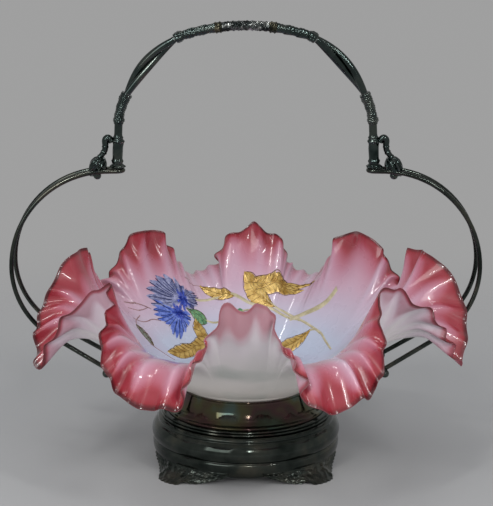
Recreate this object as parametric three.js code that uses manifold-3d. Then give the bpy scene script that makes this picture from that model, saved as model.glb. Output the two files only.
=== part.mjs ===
// Brides basket: a ruffled glass bowl resting in a footed metal stand with wire hoops and a branch handle.
// Millimetres, +Z up, the front faces -Y. The origin is on the table, under the middle of the base.
import * as THREE from 'three';
import { mergeVertices } from 'three/addons/utils/BufferGeometryUtils.js';
import Module from 'manifold-3d';

const wasm = await Module();
wasm.setup();

// Fits shared by all the pieces
const gap = 0.3;
const overrun = 2;

// Facets round each kind of piece
const shellSides = 40;
const rodSides = 8;
const branchSides = 8;
const beadSides = 10;
const smallSides = 16;

// Base: feet, spun shell and the plate that closes it
const footHeight = 9;
const footInset = 1.7;
const footWall = 2.8;
const toeReach = 12.4;
const footHalfSweep = THREE.MathUtils.degToRad(34);
const shellBulge = 5.9;
const shellHeight = 22;
const shellWall = 1.3;
const shellLip = 7;
const shoulderWidth = 8;
const plateInset = 5.3;
const plateWall = 1.5;
const plateRimHeight = 4.2;
const plateRimWall = 2.5;

// Ring moulding and cup
const ringHeight = 3.1;
const ringWidth = 5.4;
const ringLap = 1.6;
const cupFlare = 8.8;
const cupHeight = 15.7;
const cupWall = 1.3;
const cupFootWall = 3;
const seatDepth = 2.1;

// Centre bolt with its washer and nut
const boltRadius = 2.5;
const boltHeadRadius = 5;
const boltHeadHeight = 2.4;
const boltEnd = 2;
const washerRadius = 6.5;
const washerThickness = 0.8;
const nutRadius = 5.2;
const nutHeight = 2.9;

// Wire hoops, each a hairpin of round rod
const rodRadius = 1.5;
const hoopReach = 149.5;
const hoopClearance = 9.5;
const hoopMidHeight = 130.6;
const hoopLowRadius = 52.3;
const hoopTopRun = 6.8;
const hoopFootSpread = 19.5;
const hoopLoopRadius = 4;
const loopOutset = 0.4;
const spreadEase = 1.15;

// Ball-ended tie under each pair of wires
const tieBarRadius = 1.2;
const tieBallRadius = 2.75;

// Leaf clamp on the wires and the scroll that ties it to the post
const clampOutset = 13;
const clampLength = 10;
const clampWidth = 16.4;
const clampHeight = 10.6;
const clampLift = 2.2;
const clampBallRadius = 2.4;
const scrollRadius = 1.6;
const scrollRise = 13;

// Handle posts, sockets and branches
const postReach = 81.6;
const postLean = 1.2;
const postHeight = 26.2;
const postRadius = 3.1;
const capHeight = 2.4;
const capRadius = 5;
const socketLean = 5.6;
const socketHeight = 18.5;
const socketRadius = 3.4;
const branchRadius = 2;
const branchBow = 3.2;
const knotInset = 39.6;
const knotRise = 36;
const knotRadius = 3.5;
const knotLength = 5;

// Top of the handle
const crownRise = 7;
const sheathRadius = 3.1;
const collarRadius = 3.7;
const collarLength = 4;
const gripRadius = 3;
const gripLength = 30.6;

// Glass bowl
const bowlFootRadius = 41.2;
const bowlFootWall = 4.6;
const bowlFootHeight = 5.6;
const bowlFootRise = 2.2;
const glassThickness = 2.6;
const crestRadius = 106;
const crestRise = 84;
const droopRadius = hoopReach - hoopClearance;
const droopRise = 24;
const saddleRise = 42;
const pleatDepth = 1.7;
const pleatCount = 96;

// Where each piece sits, from the table upwards
const shellBottom = footHeight;
const shoulderTop = shellBottom + shellHeight;
const ringBottom = shoulderTop + gap;
const cupBottom = ringBottom + ringHeight + gap;
const cupTop = cupBottom + cupHeight;
const seatTop = cupTop - seatDepth;
const plateTop = footHeight - gap;
const plateBottom = plateTop - plateWall;
const washerTop = plateBottom - gap;
const nutTop = washerTop - washerThickness - gap;
const boltHoleRadius = boltRadius + gap;
const cupLipRadius = bowlFootRadius + gap;
const cupTopRadius = cupLipRadius + cupWall;
const cupFootRadius = cupTopRadius + cupFlare;
const ringInnerRadius = cupFootRadius - ringLap;
const shoulderRadius = ringInnerRadius + ringWidth;
const shellRadius = shoulderRadius + shellBulge;
const footTopRadius = shellRadius - footInset;
const plateRadius = shellRadius - plateInset;
const loopCentreReach = postReach + loopOutset;
const clampReach = postReach + clampOutset;
const knotReach = postReach - knotInset;
const hoopTopRadius = hoopReach - postReach - hoopTopRun;
const hoopTop = hoopMidHeight + hoopTopRadius;
const bowlFootBottom = seatTop + gap;
const bowlBodyBottom = bowlFootBottom + bowlFootRise;

const plated = new THREE.MeshStandardMaterial({ color: 0x2a302f, roughness: 0.32, metalness: 1 });
const polished = new THREE.MeshStandardMaterial({ color: 0x3d4140, roughness: 0.12, metalness: 1 });
const brassy = new THREE.MeshStandardMaterial({ color: 0x77745c, roughness: 0.35, metalness: 1 });
const rosyGlass = new THREE.MeshStandardMaterial({ color: 0xdc98a8, roughness: 0.1, metalness: 0 });

// Turns every triangle of a closed geometry outwards and drops all but its positions.
function closed(geometry) {
  for (const name of Object.keys(geometry.attributes)) {
    if (name !== 'position') geometry.deleteAttribute(name);
  }
  const merged = mergeVertices(geometry);
  const corner = (vertex) => new THREE.Vector3().fromBufferAttribute(merged.attributes.position, vertex);
  const faces = [];
  let volume = 0;
  for (let i = 0; i < merged.index.count; i += 3) {
    const [a, b, c] = merged.index.array.slice(i, i + 3);
    if (a === b || b === c || c === a) continue;
    volume += corner(a).dot(corner(b).cross(corner(c)));
    faces.push([a, b, c]);
  }
  if (volume < 0) faces.forEach((face) => face.reverse());
  merged.setIndex(faces.flat());
  return merged;
}

function toSolid(geometry) {
  const merged = closed(geometry);
  const vertProperties = new Float32Array(merged.attributes.position.array);
  const triVerts = new Uint32Array(merged.index.array);
  return new wasm.Manifold(new wasm.Mesh({ numProp: 3, vertProperties, triVerts }));
}

function fromSolid(solid) {
  const mesh = solid.getMesh();
  const geometry = new THREE.BufferGeometry();
  geometry.setAttribute('position', new THREE.BufferAttribute(mesh.vertProperties, 3));
  geometry.setIndex(Array.from(mesh.triVerts));
  return geometry;
}

// A turned piece standing on Z, from [radius, height] pairs.
function turned(profile, sides) {
  const points = profile.map(([radius, height]) => new THREE.Vector2(radius, height));
  return new THREE.LatheGeometry(points, sides).rotateX(Math.PI / 2);
}

// The same profile closed on itself, for a ring or a shell.
function turnedRing(profile, sides) {
  return turned([...profile, profile[0]], sides);
}

// A curve that gives its points back exactly where they were chosen.
class RodCurve extends THREE.CatmullRomCurve3 {
  getUtoTmapping(share) {
    return share;
  }
}

function roundSection(radius, sides) {
  const corners = [];
  for (let i = 0; i < sides; i++) {
    const turn = (i / sides) * 2 * Math.PI;
    corners.push(new THREE.Vector2(radius * Math.cos(turn), radius * Math.sin(turn)));
  }
  return new THREE.Shape(corners);
}

function rod(points, radius, sides) {
  const steps = points.length - 1;
  return new THREE.ExtrudeGeometry(roundSection(radius, sides), { steps, extrudePath: new RodCurve(points) });
}

// A turned piece bent along a curve that lies in the XZ plane. The profile holds
// [share of the length, radius] pairs, and depth widens the piece front to back.
function turnedAlong(curve, from, to, profile, depth = 1) {
  const points = profile.map(([share, radius]) => new THREE.Vector2(radius, share));
  const geometry = new THREE.LatheGeometry([
    new THREE.Vector2(0, profile[0][0]), ...points, new THREE.Vector2(0, profile.at(-1)[0]),
  ], beadSides);
  const place = geometry.attributes.position;
  for (let i = 0; i < place.count; i++) {
    const share = THREE.MathUtils.lerp(from, to, place.getY(i));
    const centre = curve.getPoint(share);
    const along = curve.getTangent(share);
    const across = new THREE.Vector3(along.z, 0, -along.x).multiplyScalar(place.getX(i));
    centre.add(across);
    centre.y += place.getZ(i) * depth;
    place.setXYZ(i, centre.x, centre.y, centre.z);
  }
  return geometry;
}

// Joins rings of points into one closed skin. A ring of one point is a pole, and a ring may
// have twice or half as many points as the one before it.
function skin(rings) {
  const positions = [];
  const starts = rings.map((ring) => {
    const start = positions.length / 3;
    ring.forEach((point) => positions.push(point.x, point.y, point.z));
    return start;
  });
  const faces = [];
  for (let k = 1; k < rings.length; k++) {
    const near = { start: starts[k - 1], count: rings[k - 1].length };
    const far = { start: starts[k], count: rings[k].length };
    const flip = near.count > far.count;
    const [few, many] = flip ? [far, near] : [near, far];
    const ratio = many.count / few.count;
    const put = (a, b, c) => faces.push(a, flip ? c : b, flip ? b : c);
    for (let i = 0; i < few.count; i++) {
      const low = few.start + i;
      const nextLow = few.start + ((i + 1) % few.count);
      for (let j = 0; j < ratio; j++) {
        const high = many.start + i * ratio + j;
        const nextHigh = many.start + ((i * ratio + j + 1) % many.count);
        put(low, nextHigh, high);
      }
      if (few.count > 1) put(low, nextLow, many.start + (((i + 1) * ratio) % many.count));
    }
  }
  const geometry = new THREE.BufferGeometry();
  geometry.setAttribute('position', new THREE.Float32BufferAttribute(positions, 3));
  geometry.setIndex(faces);
  return geometry;
}

// Leaf foot. Its edge runs from the toe to a wing tip, as shares of the half sweep,
// of the toe's reach past the top and of the foot's height.
const footEdgeShares = [
  [0, 1, 0], [0.1, 0.98, 0], [0.2, 0.88, 0], [0.28, 0.62, 0.2], [0.38, 0.42, 0.05],
  [0.5, 0.25, 0.09], [0.64, 0.1, 0.24], [0.82, 0.03, 0.47], [1, 0, 0.74],
];
const footMidShare = 0.5;
const footHollowShare = 0.3;

function footGeometry() {
  const top = footHeight - gap;
  const mirrored = footEdgeShares.slice(1).reverse().map(([sweep, reach, rise]) => [-sweep, reach, rise]);
  const rings = [...mirrored, ...footEdgeShares].map(([sweep, reach, rise]) => {
    const turn = sweep * footHalfSweep;
    const edge = footTopRadius + reach * toeReach;
    const low = rise * top;
    const waist = footTopRadius + footHollowShare * (edge - footTopRadius);
    const middle = low + footMidShare * (top - low);
    const section = [
      [footTopRadius, top], [waist, middle], [edge, low],
      [edge - footWall, low], [waist - footWall, middle], [footTopRadius - footWall, top],
    ];
    return section.map(([r, z]) => new THREE.Vector3(r * Math.sin(turn), -r * Math.cos(turn), z));
  });
  const ends = [rings[0], rings.at(-1)].map((ring) => {
    const centre = new THREE.Vector3();
    ring.forEach((point) => centre.addScaledVector(point, 1 / ring.length));
    return [centre];
  });
  return skin([ends[0], ...rings, ends[1]]);
}

// Spun shell: shares of its radius and of its height, from the flange up to the shoulder.
const shellOuterShares = [
  [0.984, 0], [0.989, 0.13], [0.984, 0.26], [0.973, 0.29], [0.986, 0.345], [1, 0.5],
  [0.993, 0.655], [0.966, 0.782], [0.936, 0.845], [0.936, 0.89], [0.923, 0.964],
];
const shellInnerShares = [[0.9, 0.9], [0.966, 0.74], [1, 0.5], [0.98, 0.29]];

function shellGeometry() {
  const outer = shellOuterShares.map(([r, h]) => [r * shellRadius, shellBottom + h * shellHeight]);
  outer.push([shoulderRadius, shoulderTop]);
  const inner = shellInnerShares
    .map(([r, h]) => [r * shellRadius - shellWall, shellBottom + h * shellHeight]);
  const lipRadius = outer[0][0] - shellLip;
  const wallFoot = outer[0][0] - shellWall;
  const shoulderInner = outer.at(-1)[0] - shoulderWidth;
  const undersideRadius = outer.at(-1)[0] - shellWall;
  return turnedRing([
    [lipRadius, shellBottom], ...outer,
    [shoulderInner, shoulderTop], [shoulderInner, shoulderTop - shellWall],
    [undersideRadius, shoulderTop - shellWall], ...inner,
    [wallFoot, shellBottom + shellWall], [lipRadius, shellBottom + shellWall],
  ], shellSides);
}

function plateGeometry() {
  const rimInner = plateRadius - plateRimWall;
  return turnedRing([
    [boltHoleRadius, plateTop], [plateRadius, plateTop], [plateRadius, plateTop - plateRimHeight],
    [rimInner, plateTop - plateRimHeight], [rimInner, plateBottom], [boltHoleRadius, plateBottom],
  ], shellSides);
}

// Two fine beads: shares of the ring's width and height.
const ringShares = [[0, 0], [0.88, 0], [1, 0.26], [0.88, 0.5], [0.74, 0.56], [0.82, 0.78], [0.7, 1], [0, 1]];

function ringGeometry() {
  return turnedRing(ringShares.map(([r, h]) => [
    ringInnerRadius + r * ringWidth, ringBottom + h * ringHeight,
  ]), shellSides);
}

// Hollow-curved cup wall: shares of its flare and of its height, from the foot up.
const cupOuterShares = [[1, 0], [0.98, 0.06], [0.58, 0.13], [0.3, 0.29], [0.12, 0.52], [0.03, 0.78], [0, 1]];
const cupInnerShares = [[0.12, 0.52], [0.32, 0.29], [0.62, 0.15]];

function cupOuterProfile(grown) {
  return cupOuterShares
    .map(([flare, h]) => [cupTopRadius + flare * cupFlare + grown, cupBottom + h * cupHeight]);
}

function cupGeometry() {
  const inner = cupInnerShares.map(([flare, h]) => [
    cupTopRadius + flare * cupFlare - cupWall, cupBottom + h * cupHeight,
  ]);
  return turnedRing([
    ...cupOuterProfile(0), [cupLipRadius, cupTop], [cupLipRadius, seatTop], [boltHoleRadius, seatTop],
    [boltHoleRadius, seatTop - cupWall], [cupTopRadius - cupWall, seatTop - cupWall], ...inner,
    [cupFootRadius - cupFootWall, cupBottom],
  ], shellSides);
}

// The room that the cup takes, for trimming the wires that are soldered to it.
function cupRoom() {
  const wall = cupOuterProfile(gap);
  return turned([[0, cupBottom], ...wall, [0, cupTop]], shellSides);
}

function boltGeometry() {
  const headBottom = seatTop + gap;
  const headTop = headBottom + boltHeadHeight;
  return turned([
    [0, boltEnd], [boltRadius, boltEnd], [boltRadius, headBottom], [boltHeadRadius, headBottom],
    [boltHeadRadius, headBottom + boltHeadHeight / 2], [boltRadius, headTop], [0, headTop],
  ], smallSides);
}

function washerGeometry() {
  const bottom = washerTop - washerThickness;
  return turnedRing([
    [boltHoleRadius, bottom], [washerRadius, bottom],
    [washerRadius, washerTop], [boltHoleRadius, washerTop],
  ], smallSides);
}

function nutGeometry() {
  const outline = roundSection(nutRadius, 6);
  outline.holes.push(new THREE.Path(roundSection(boltHoleRadius, smallSides).getPoints()));
  const geometry = new THREE.ExtrudeGeometry(outline, { depth: nutHeight, bevelEnabled: false });
  return geometry.translate(0, 0, nutTop - nutHeight);
}

// Middle line of a hoop in the XZ plane: a straight run from the cup, two arcs, and a short
// level run to the loop. Points are [reach, height].
const runFootShare = 0.22;
const runSteps = 4;
const lowArcSteps = 6;
const topArcSteps = 9;
const loopSteps = 4;

function hoopLine() {
  const foot = new THREE.Vector2(cupTopRadius - cupWall - overrun, cupBottom + runFootShare * cupHeight);
  const lowCentre = new THREE.Vector2(hoopReach - hoopLowRadius, hoopMidHeight);
  const topCentre = new THREE.Vector2(hoopReach - hoopTopRadius, hoopMidHeight);
  const away = foot.clone().sub(lowCentre);
  const tangentTurn = away.angle() - 2 * Math.PI + Math.acos(hoopLowRadius / away.length());
  const onArc = (centre, radius, turn) => new THREE.Vector2(Math.cos(turn), Math.sin(turn))
    .multiplyScalar(radius).add(centre);
  const runEnd = onArc(lowCentre, hoopLowRadius, tangentTurn);
  const line = [];
  for (let i = 0; i < runSteps; i++) line.push(foot.clone().lerp(runEnd, i / runSteps));
  for (let i = 0; i < lowArcSteps; i++) {
    line.push(onArc(lowCentre, hoopLowRadius, tangentTurn * (1 - i / lowArcSteps)));
  }
  for (let i = 0; i <= topArcSteps; i++) {
    line.push(onArc(topCentre, hoopTopRadius, (i / topArcSteps) * Math.PI / 2));
  }
  line.push(new THREE.Vector2(loopCentreReach, hoopTop));
  return line;
}

// Half the distance between the two wires at each point of the line.
function hoopSpreads(line) {
  const travelled = [0];
  for (let i = 1; i < line.length; i++) travelled.push(travelled[i - 1] + line[i].distanceTo(line[i - 1]));
  return travelled.map((length) => {
    const share = (length / travelled.at(-1)) ** spreadEase;
    return THREE.MathUtils.lerp(hoopFootSpread, hoopLoopRadius, share);
  });
}

function hairpinPoints() {
  const line = hoopLine();
  const spreads = hoopSpreads(line);
  const front = line.map((point, i) => new THREE.Vector3(point.x, -spreads[i], point.y));
  const loop = [];
  for (let i = 1; i < loopSteps; i++) {
    const turn = (i / loopSteps) * Math.PI;
    const reach = loopCentreReach - hoopLoopRadius * Math.sin(turn);
    loop.push(new THREE.Vector3(reach, -hoopLoopRadius * Math.cos(turn), hoopTop));
  }
  const back = front.map((point) => new THREE.Vector3(point.x, -point.y, point.z)).reverse();
  return [...front, ...loop, ...back];
}

function wireGeometry() {
  const wire = toSolid(rod(hairpinPoints(), rodRadius, rodSides));
  return fromSolid(wire.subtract(toSolid(cupRoom())));
}

// The tie hangs under the straight run, a little way out from the bowl's body.
const tiePlaceShare = 0.58;

function tieGeometry() {
  const line = hoopLine();
  const spreads = hoopSpreads(line);
  const foot = line[0];
  const runEnd = line[runSteps];
  const along = runEnd.clone().sub(foot).normalize();
  const offset = rodRadius + tieBarRadius + gap;
  const spread = THREE.MathUtils.lerp(spreads[0], spreads[runSteps], tiePlaceShare);
  const place = foot.clone().lerp(runEnd, tiePlaceShare);
  place.add(new THREE.Vector2(along.y, -along.x).multiplyScalar(offset));
  const ballOffset = Math.sqrt((rodRadius + tieBallRadius + gap) ** 2 - offset ** 2);
  const ballPlace = spread + ballOffset + gap;
  const neckTurn = Math.asin(tieBarRadius / tieBallRadius);
  const ball = [];
  for (let i = 0; i <= 5; i++) {
    const turn = (i / 5) * (Math.PI - neckTurn);
    ball.push([tieBallRadius * Math.sin(turn), -ballPlace - tieBallRadius * Math.cos(turn)]);
  }
  const profile = [...ball, ...ball.map(([radius, height]) => [radius, -height]).reverse()];
  const bar = turned(profile, beadSides).rotateX(Math.PI / 2);
  return bar.translate(place.x, 0, place.y);
}

// Leaf clamp: an oval body bored for both wires, with a ball under it.
const clampFacets = [12, 8];
const clampBallFacets = [8, 5];

function clampBody(grown) {
  const body = new THREE.SphereGeometry(1, ...clampFacets);
  body.scale(clampLength / 2 + grown, clampWidth / 2 + grown, clampHeight / 2 + grown);
  return toSolid(body.translate(clampReach, 0, hoopTop + clampLift));
}

function clampGeometry() {
  const ball = new THREE.SphereGeometry(clampBallRadius, ...clampBallFacets);
  ball.translate(clampReach, 0, hoopTop + clampLift - clampHeight / 2 - clampBallRadius / 2);
  const bores = toSolid(rod(hairpinPoints(), rodRadius + gap, rodSides));
  return fromSolid(clampBody(0).add(toSolid(ball)).subtract(bores));
}

// Scroll: shares of the way out from post to clamp, and of the rise above the clamp.
const scrollShares = [[0, 0.82], [0.18, 1], [0.4, 0.9], [0.42, 0.62], [0.5, 0.36], [0.7, 0.14], [1, -0.1]];

function scrollGeometry() {
  const start = postReach + postCollarRadius() - overrun;
  const clampTop = hoopTop + clampLift + clampHeight / 2;
  const points = scrollShares.map(([out, up]) => new THREE.Vector3(
    THREE.MathUtils.lerp(start, clampReach, out), 0, clampTop + up * scrollRise,
  ));
  const roomRadius = postCollarRadius() + gap;
  const postRoom = turnedAlong(postLine, 0, 1, [[0, roomRadius], [1, roomRadius]]);
  const scroll = toSolid(rod(points, scrollRadius, rodSides));
  return fromSolid(scroll.subtract(toSolid(postRoom)).subtract(clampBody(gap)));
}

// Corner points of the handle in the XZ plane
const capBottom = hoopTop + rodRadius + gap;
const postFoot = new THREE.Vector3(postReach, 0, capBottom + capHeight + gap);
const postTop = new THREE.Vector3(postReach - postLean, 0, postFoot.z + postHeight);
const socketTop = new THREE.Vector3(postTop.x - socketLean, 0, postTop.z + socketHeight);
const knotPoint = new THREE.Vector3(knotReach, 0, socketTop.z + knotRise);
const mirrorKnot = new THREE.Vector3(-knotPoint.x, 0, knotPoint.z);
const crownPull = new THREE.Vector3(0, 0, knotPoint.z + 2 * crownRise);

const postLine = new THREE.LineCurve3(postFoot, postTop);
const branchLine = bowedLine(socketTop, knotPoint, branchBow);
const socketLine = easedLine(postTop, postLine.getTangent(1), socketTop, branchLine.getTangent(0));
const crownLine = new THREE.QuadraticBezierCurve3(knotPoint, crownPull, mirrorKnot);
const knotLine = new THREE.QuadraticBezierCurve3(
  branchLine.getPointAt(1 - knotLength / 2 / branchLine.getLength()), knotPoint,
  crownLine.getPointAt(knotLength / 2 / crownLine.getLength()),
);

function bowedLine(from, to, bow) {
  const chord = to.clone().sub(from).normalize();
  const outward = new THREE.Vector3(chord.z, 0, -chord.x);
  const pull = from.clone().lerp(to, 1 / 2).addScaledVector(outward, 2 * bow);
  return new THREE.QuadraticBezierCurve3(from, pull, to);
}

// A bend that leaves one point and reaches the other along the given directions.
function easedLine(from, leaving, to, arriving) {
  const span = to.clone().sub(from);
  const turn = leaving.x * arriving.z - leaving.z * arriving.x;
  const reach = (span.x * arriving.z - span.z * arriving.x) / turn;
  return new THREE.QuadraticBezierCurve3(from, from.clone().addScaledVector(leaving, reach), to);
}

function capGeometry() {
  const capShares = [[1, 0], [1, 0.3], [0.86, 0.62], [0.74, 1]];
  const ring = capShares.map(([r, h]) => [r * capRadius, capBottom + h * capHeight]);
  const cap = turned([[0, capBottom], ...ring, [0, capBottom + capHeight]], smallSides);
  return cap.translate(postReach, 0, 0);
}

// Post: shares of its length and of its radius, with a collar where the scroll springs.
const postShares = [
  [0, 1.05], [0.05, 1.05], [0.1, 0.96], [0.52, 1], [0.56, 1.24], [0.66, 1.24],
  [0.7, 0.95], [0.74, 0.84], [0.95, 0.82], [0.97, 1.02], [1, 1.02],
];
const postCollarShare = 1.24;

function postCollarRadius() {
  return postCollarShare * postRadius;
}

function postGeometry() {
  return turnedAlong(postLine, 0, 1, postShares.map(([share, r]) => [share, r * postRadius]));
}

// Socket: a ferrule with a leaf collar at each end.
const socketShares = [
  [0, 0.8], [0.03, 1.02], [0.13, 1.05], [0.19, 0.88], [0.45, 0.86], [0.7, 0.9],
  [0.77, 1.04], [0.86, 1.08], [0.93, 1], [1, 1],
];
const handleDepthShare = 1.26;

function socketGeometry() {
  const from = gap / socketLine.getLength();
  const profile = socketShares.map(([share, r]) => [share, r * socketRadius]);
  return turnedAlong(socketLine, from, 1, profile, handleDepthShare);
}

// Two branches twist half a turn round the middle line, side by side at mid-length.
const branchSteps = 14;

function branchGeometry(phase) {
  const offset = branchRadius + gap / 2;
  const margin = 2 * gap / branchLine.getLength();
  const knotMargin = (knotLength / 2 + 2 * gap) / branchLine.getLength();
  const points = [];
  for (let i = 0; i <= branchSteps; i++) {
    const share = i / branchSteps;
    const place = THREE.MathUtils.lerp(margin, 1 - knotMargin, share);
    const centre = branchLine.getPointAt(place);
    const along = branchLine.getTangentAt(place);
    const turn = phase + (1 / 2 - share) * Math.PI;
    centre.add(new THREE.Vector3(along.z, 0, -along.x).multiplyScalar(offset * Math.cos(turn)));
    centre.y -= offset * Math.sin(turn);
    points.push(centre);
  }
  return rod(points, branchRadius, branchSides);
}

// The knot straddles the corner where the branches meet the crown.
const knotShares = [
  [0, 0.94], [0.12, 1.04], [0.32, 1.06], [0.5, 0.9], [0.68, 1.06], [0.88, 1.04], [1, 0.94],
];

function knotGeometry() {
  const profile = knotShares.map(([share, r]) => [share, r * knotRadius]);
  return turnedAlong(knotLine, 0, 1, profile, handleDepthShare);
}

// Places along the crown, as shares of its own length from the knot
const crownLength = crownLine.getLength();
const gripStart = (crownLength - gripLength) / 2;
const collarStart = gripStart - gap - collarLength;
const sheathStart = knotLength / 2 + gap;
const sheathEnd = collarStart - gap;

// A crown line by length, so that turned pieces keep their lengths on it.
class EvenCurve extends THREE.Curve {
  constructor(line) {
    super();
    this.line = line;
  }

  getPoint(share) {
    return this.line.getPointAt(THREE.MathUtils.clamp(share, 0, 1));
  }
}

const evenCrown = new EvenCurve(crownLine);

function onCrown(start, end, profile, radius) {
  const sized = profile.map(([share, r]) => [share, r * radius]);
  return turnedAlong(evenCrown, start / crownLength, end / crownLength, sized);
}

const sheathShares = [
  [0, 0.9], [0.06, 1], [0.28, 0.94], [0.33, 1.06], [0.55, 0.93], [0.62, 1.05], [0.88, 0.92], [1, 0.96],
];
const collarShares = [[0, 0.86], [0.12, 1], [0.36, 1], [0.5, 0.88], [0.64, 1], [0.88, 1], [1, 0.86]];
const gripKnobs = 9;
const gripKnobShare = 0.14;

function gripGeometry() {
  const profile = [[0, 1]];
  for (let i = 0; i < gripKnobs; i++) {
    profile.push([(i + 0.25) / gripKnobs, 1 + gripKnobShare]);
    profile.push([(i + 0.6) / gripKnobs, 1 + gripKnobShare]);
    profile.push([(i + 0.85) / gripKnobs, 1 - gripKnobShare / 2]);
  }
  profile.push([1, 1]);
  return onCrown(gripStart, gripStart + gripLength, profile, gripRadius);
}

// Ruffled rim from front to back: azimuth in degrees from the front, share of the reach from
// crest to droop, share of the rise from droop to crest. Both halves of the bowl follow it.
const rimShares = [
  [0, 0.03, 0.9], [7, 0.03, 0.95], [9.6, 0.06, 0.71], [10.6, 0.2, 0.56], [13, 0.5, 0.46],
  [14.6, 0.76, 0.28], [16.2, 0.97, 0.05], [20, 1.02, 0], [26, 1.02, 0], [30.5, 0.98, 0.05],
  [34.5, 0.92, 0.19], [38, 0.82, 0.37], [41.2, 0.62, 0.54], [43.2, 0.36, 0.7], [45, 0.22, 0.85],
  [48, 0.17, 1], [53, 0.22, 0.94], [58, 0.4, 0.79], [61.5, 0.62, 0.62], [64, 0.82, 0.38],
  [66, 0.95, 0.16], [68.5, 1, 0.03], [72, 0.97, 0.14], [76, 0.92, 0.3], [80, 0.8, 0.48],
  [83.6, 0.58, 0.7], [86.5, 0.34, 0.92], [91, 0.08, 1.04], [98, 0.04, 0.98], [104, 0.16, 0.78],
  [108.5, 0.5, 0.5], [111, 0.82, 0.22], [114.5, 1, 0.02], [118, 0.72, 0.2], [120.4, 0.28, 0.46],
  [123.4, 0.04, 0.76], [129, -0.04, 0.95], [138, -0.05, 0.98], [145, -0.04, 0.9], [149, 0.02, 0.7],
  [152, 0.2, 0.48], [154.6, 0.62, 0.26], [157.4, 0.97, 0.06], [160.8, 1.05, 0.02], [164, 0.76, 0.14],
  [166.6, 0.42, 0.3], [167.8, 0.16, 0.44], [168.6, 0.02, 0.62], [169.6, -0.04, 0.78], [172, -0.05, 0.84],
  [175, -0.05, 0.86], [177.4, -0.05, 0.92], [180, -0.05, 0.98],
];

// The bowl was ruffled by hand, so its lobes stand unevenly: some turns of the table above,
// where the left and the right half have them, and how much further out and up the right rim is.
const evenTurns = [0, 26, 35, 41, 48, 68.5, 84, 91, 114.5, 124, 138, 160.8, 180];
const leftTurns = [0, 26.5, 36.7, 43.5, 48.5, 68, 84.5, 92.5, 120, 128.3, 140.5, 162, 183];
const rightTurns = [0, 25.5, 35, 39, 47.5, 68.5, 83.7, 91, 108, 119, 135.5, 157, 177];
const rightSwellShares = [0, 0, 0.07, 0.1, 0.1, 0.13, 0.28, 0.06, 0, 0, 0, 0, 0];
const rightLiftShares = [0, 0, 0, 0, 0, 0.03, 0.06, 0.04, 0, 0, 0, 0, 0];

// Reads one of these lists between its turns.
function unevenly(degrees, list) {
  const k = Math.min(evenTurns.findLastIndex((turn) => turn <= degrees), evenTurns.length - 2);
  const share = (degrees - evenTurns[k]) / (evenTurns[k + 1] - evenTurns[k]);
  return THREE.MathUtils.lerp(list[k], list[k + 1], share);
}

// Middle of the glass wall from foot to rim, at a crest and at a droop: shares of the
// reach past the foot, and of the rise to the crest or to the droop's saddle.
const crestLineShares = [[0, 0], [0.31, 0.157], [0.61, 0.373], [0.835, 0.627], [0.955, 0.83], [1, 1]];
const droopLineShares = [[0, 0], [0.21, 0.31], [0.413, 0.714], [0.62, 0.97], [0.8, 1]];

function meridian(shares, reach, rise, last) {
  const points = shares.map(([out, up]) => new THREE.Vector3(
    bowlFootRadius + out * reach, 0, bowlBodyBottom + up * rise,
  ));
  return new RodCurve(last ? [...points, last] : points);
}

const crestLine = meridian(crestLineShares, crestRadius - bowlFootRadius, crestRise);
const droopEnd = new THREE.Vector3(droopRadius, 0, bowlBodyBottom + droopRise);
const droopLine = meridian(droopLineShares, droopRadius - bowlFootRadius, saddleRise, droopEnd);

// Each column of the bowl ends at one of these evenly spaced points of the rim.
function rimColumns() {
  const left = rimShares.map(([degrees, out, up]) => [unevenly(degrees, leftTurns), out, up]);
  const right = rimShares.slice(1, -1).reverse().map(([degrees, out, up]) => [
    -unevenly(degrees, rightTurns),
    out + unevenly(degrees, rightSwellShares),
    up + unevenly(degrees, rightLiftShares),
  ]);
  const points = [...left, ...right].map(([degrees, out, up]) => {
    const turn = THREE.MathUtils.degToRad(degrees);
    const reach = THREE.MathUtils.lerp(crestRadius, droopRadius, out);
    const height = bowlBodyBottom + THREE.MathUtils.lerp(droopRise, crestRise, up);
    return new THREE.Vector3(-reach * Math.sin(turn), -reach * Math.cos(turn), height);
  });
  const spaced = new THREE.CatmullRomCurve3(points, true).getSpacedPoints(2 * pleatCount).slice(0, -1);
  return spaced.map((point) => {
    const reach = Math.hypot(point.x, point.y);
    const out = new THREE.Vector3(point.x / reach, point.y / reach, 0);
    const up = (point.z - bowlBodyBottom - droopRise) / (crestRise - droopRise);
    return { reach, height: point.z, out, up };
  });
}

const columns = rimColumns();
const rimPull = 3;

// A point on the middle of the wall: column index and share of the way from foot to rim.
function wallPoint(index, share) {
  const { reach, height, out, up } = columns[(index + columns.length) % columns.length];
  const blend = (at) => droopLine.getPoint(at).lerp(crestLine.getPoint(at), up);
  const end = blend(1);
  const place = blend(share);
  const pull = share ** rimPull;
  const radius = place.x + (reach - end.x) * pull;
  return out.clone().multiplyScalar(radius).setZ(place.z + (height - end.z) * pull);
}

// How far from the column's neighbours a direction across the wall is measured
const normalStep = 0.01;

function wallNormal(index, share) {
  const along = wallPoint(index, share).sub(wallPoint(index, share - normalStep));
  const across = wallPoint(index + 1, share).sub(wallPoint(index - 1, share));
  return along.cross(across).normalize();
}

const pleatStartShare = 0.55;

function wallRing(share, offset, every) {
  const ring = [];
  const fade = THREE.MathUtils.smoothstep(share, pleatStartShare, 1);
  for (let i = 0; i < columns.length; i += every) {
    const pleat = (i % 2 === 0 ? 1 : -1) * pleatDepth * fade;
    ring.push(wallPoint(i, share).addScaledVector(wallNormal(i, share), offset + pleat));
  }
  return ring;
}

// Rings up the wall: share of the way, and how many columns are skipped
const wallRingShares = [
  [0.1, 4], [0.22, 4], [0.34, 4], [0.46, 2], [0.56, 2], [0.66, 2], [0.76, 1], [0.85, 1], [0.93, 1], [1, 1],
];

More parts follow.
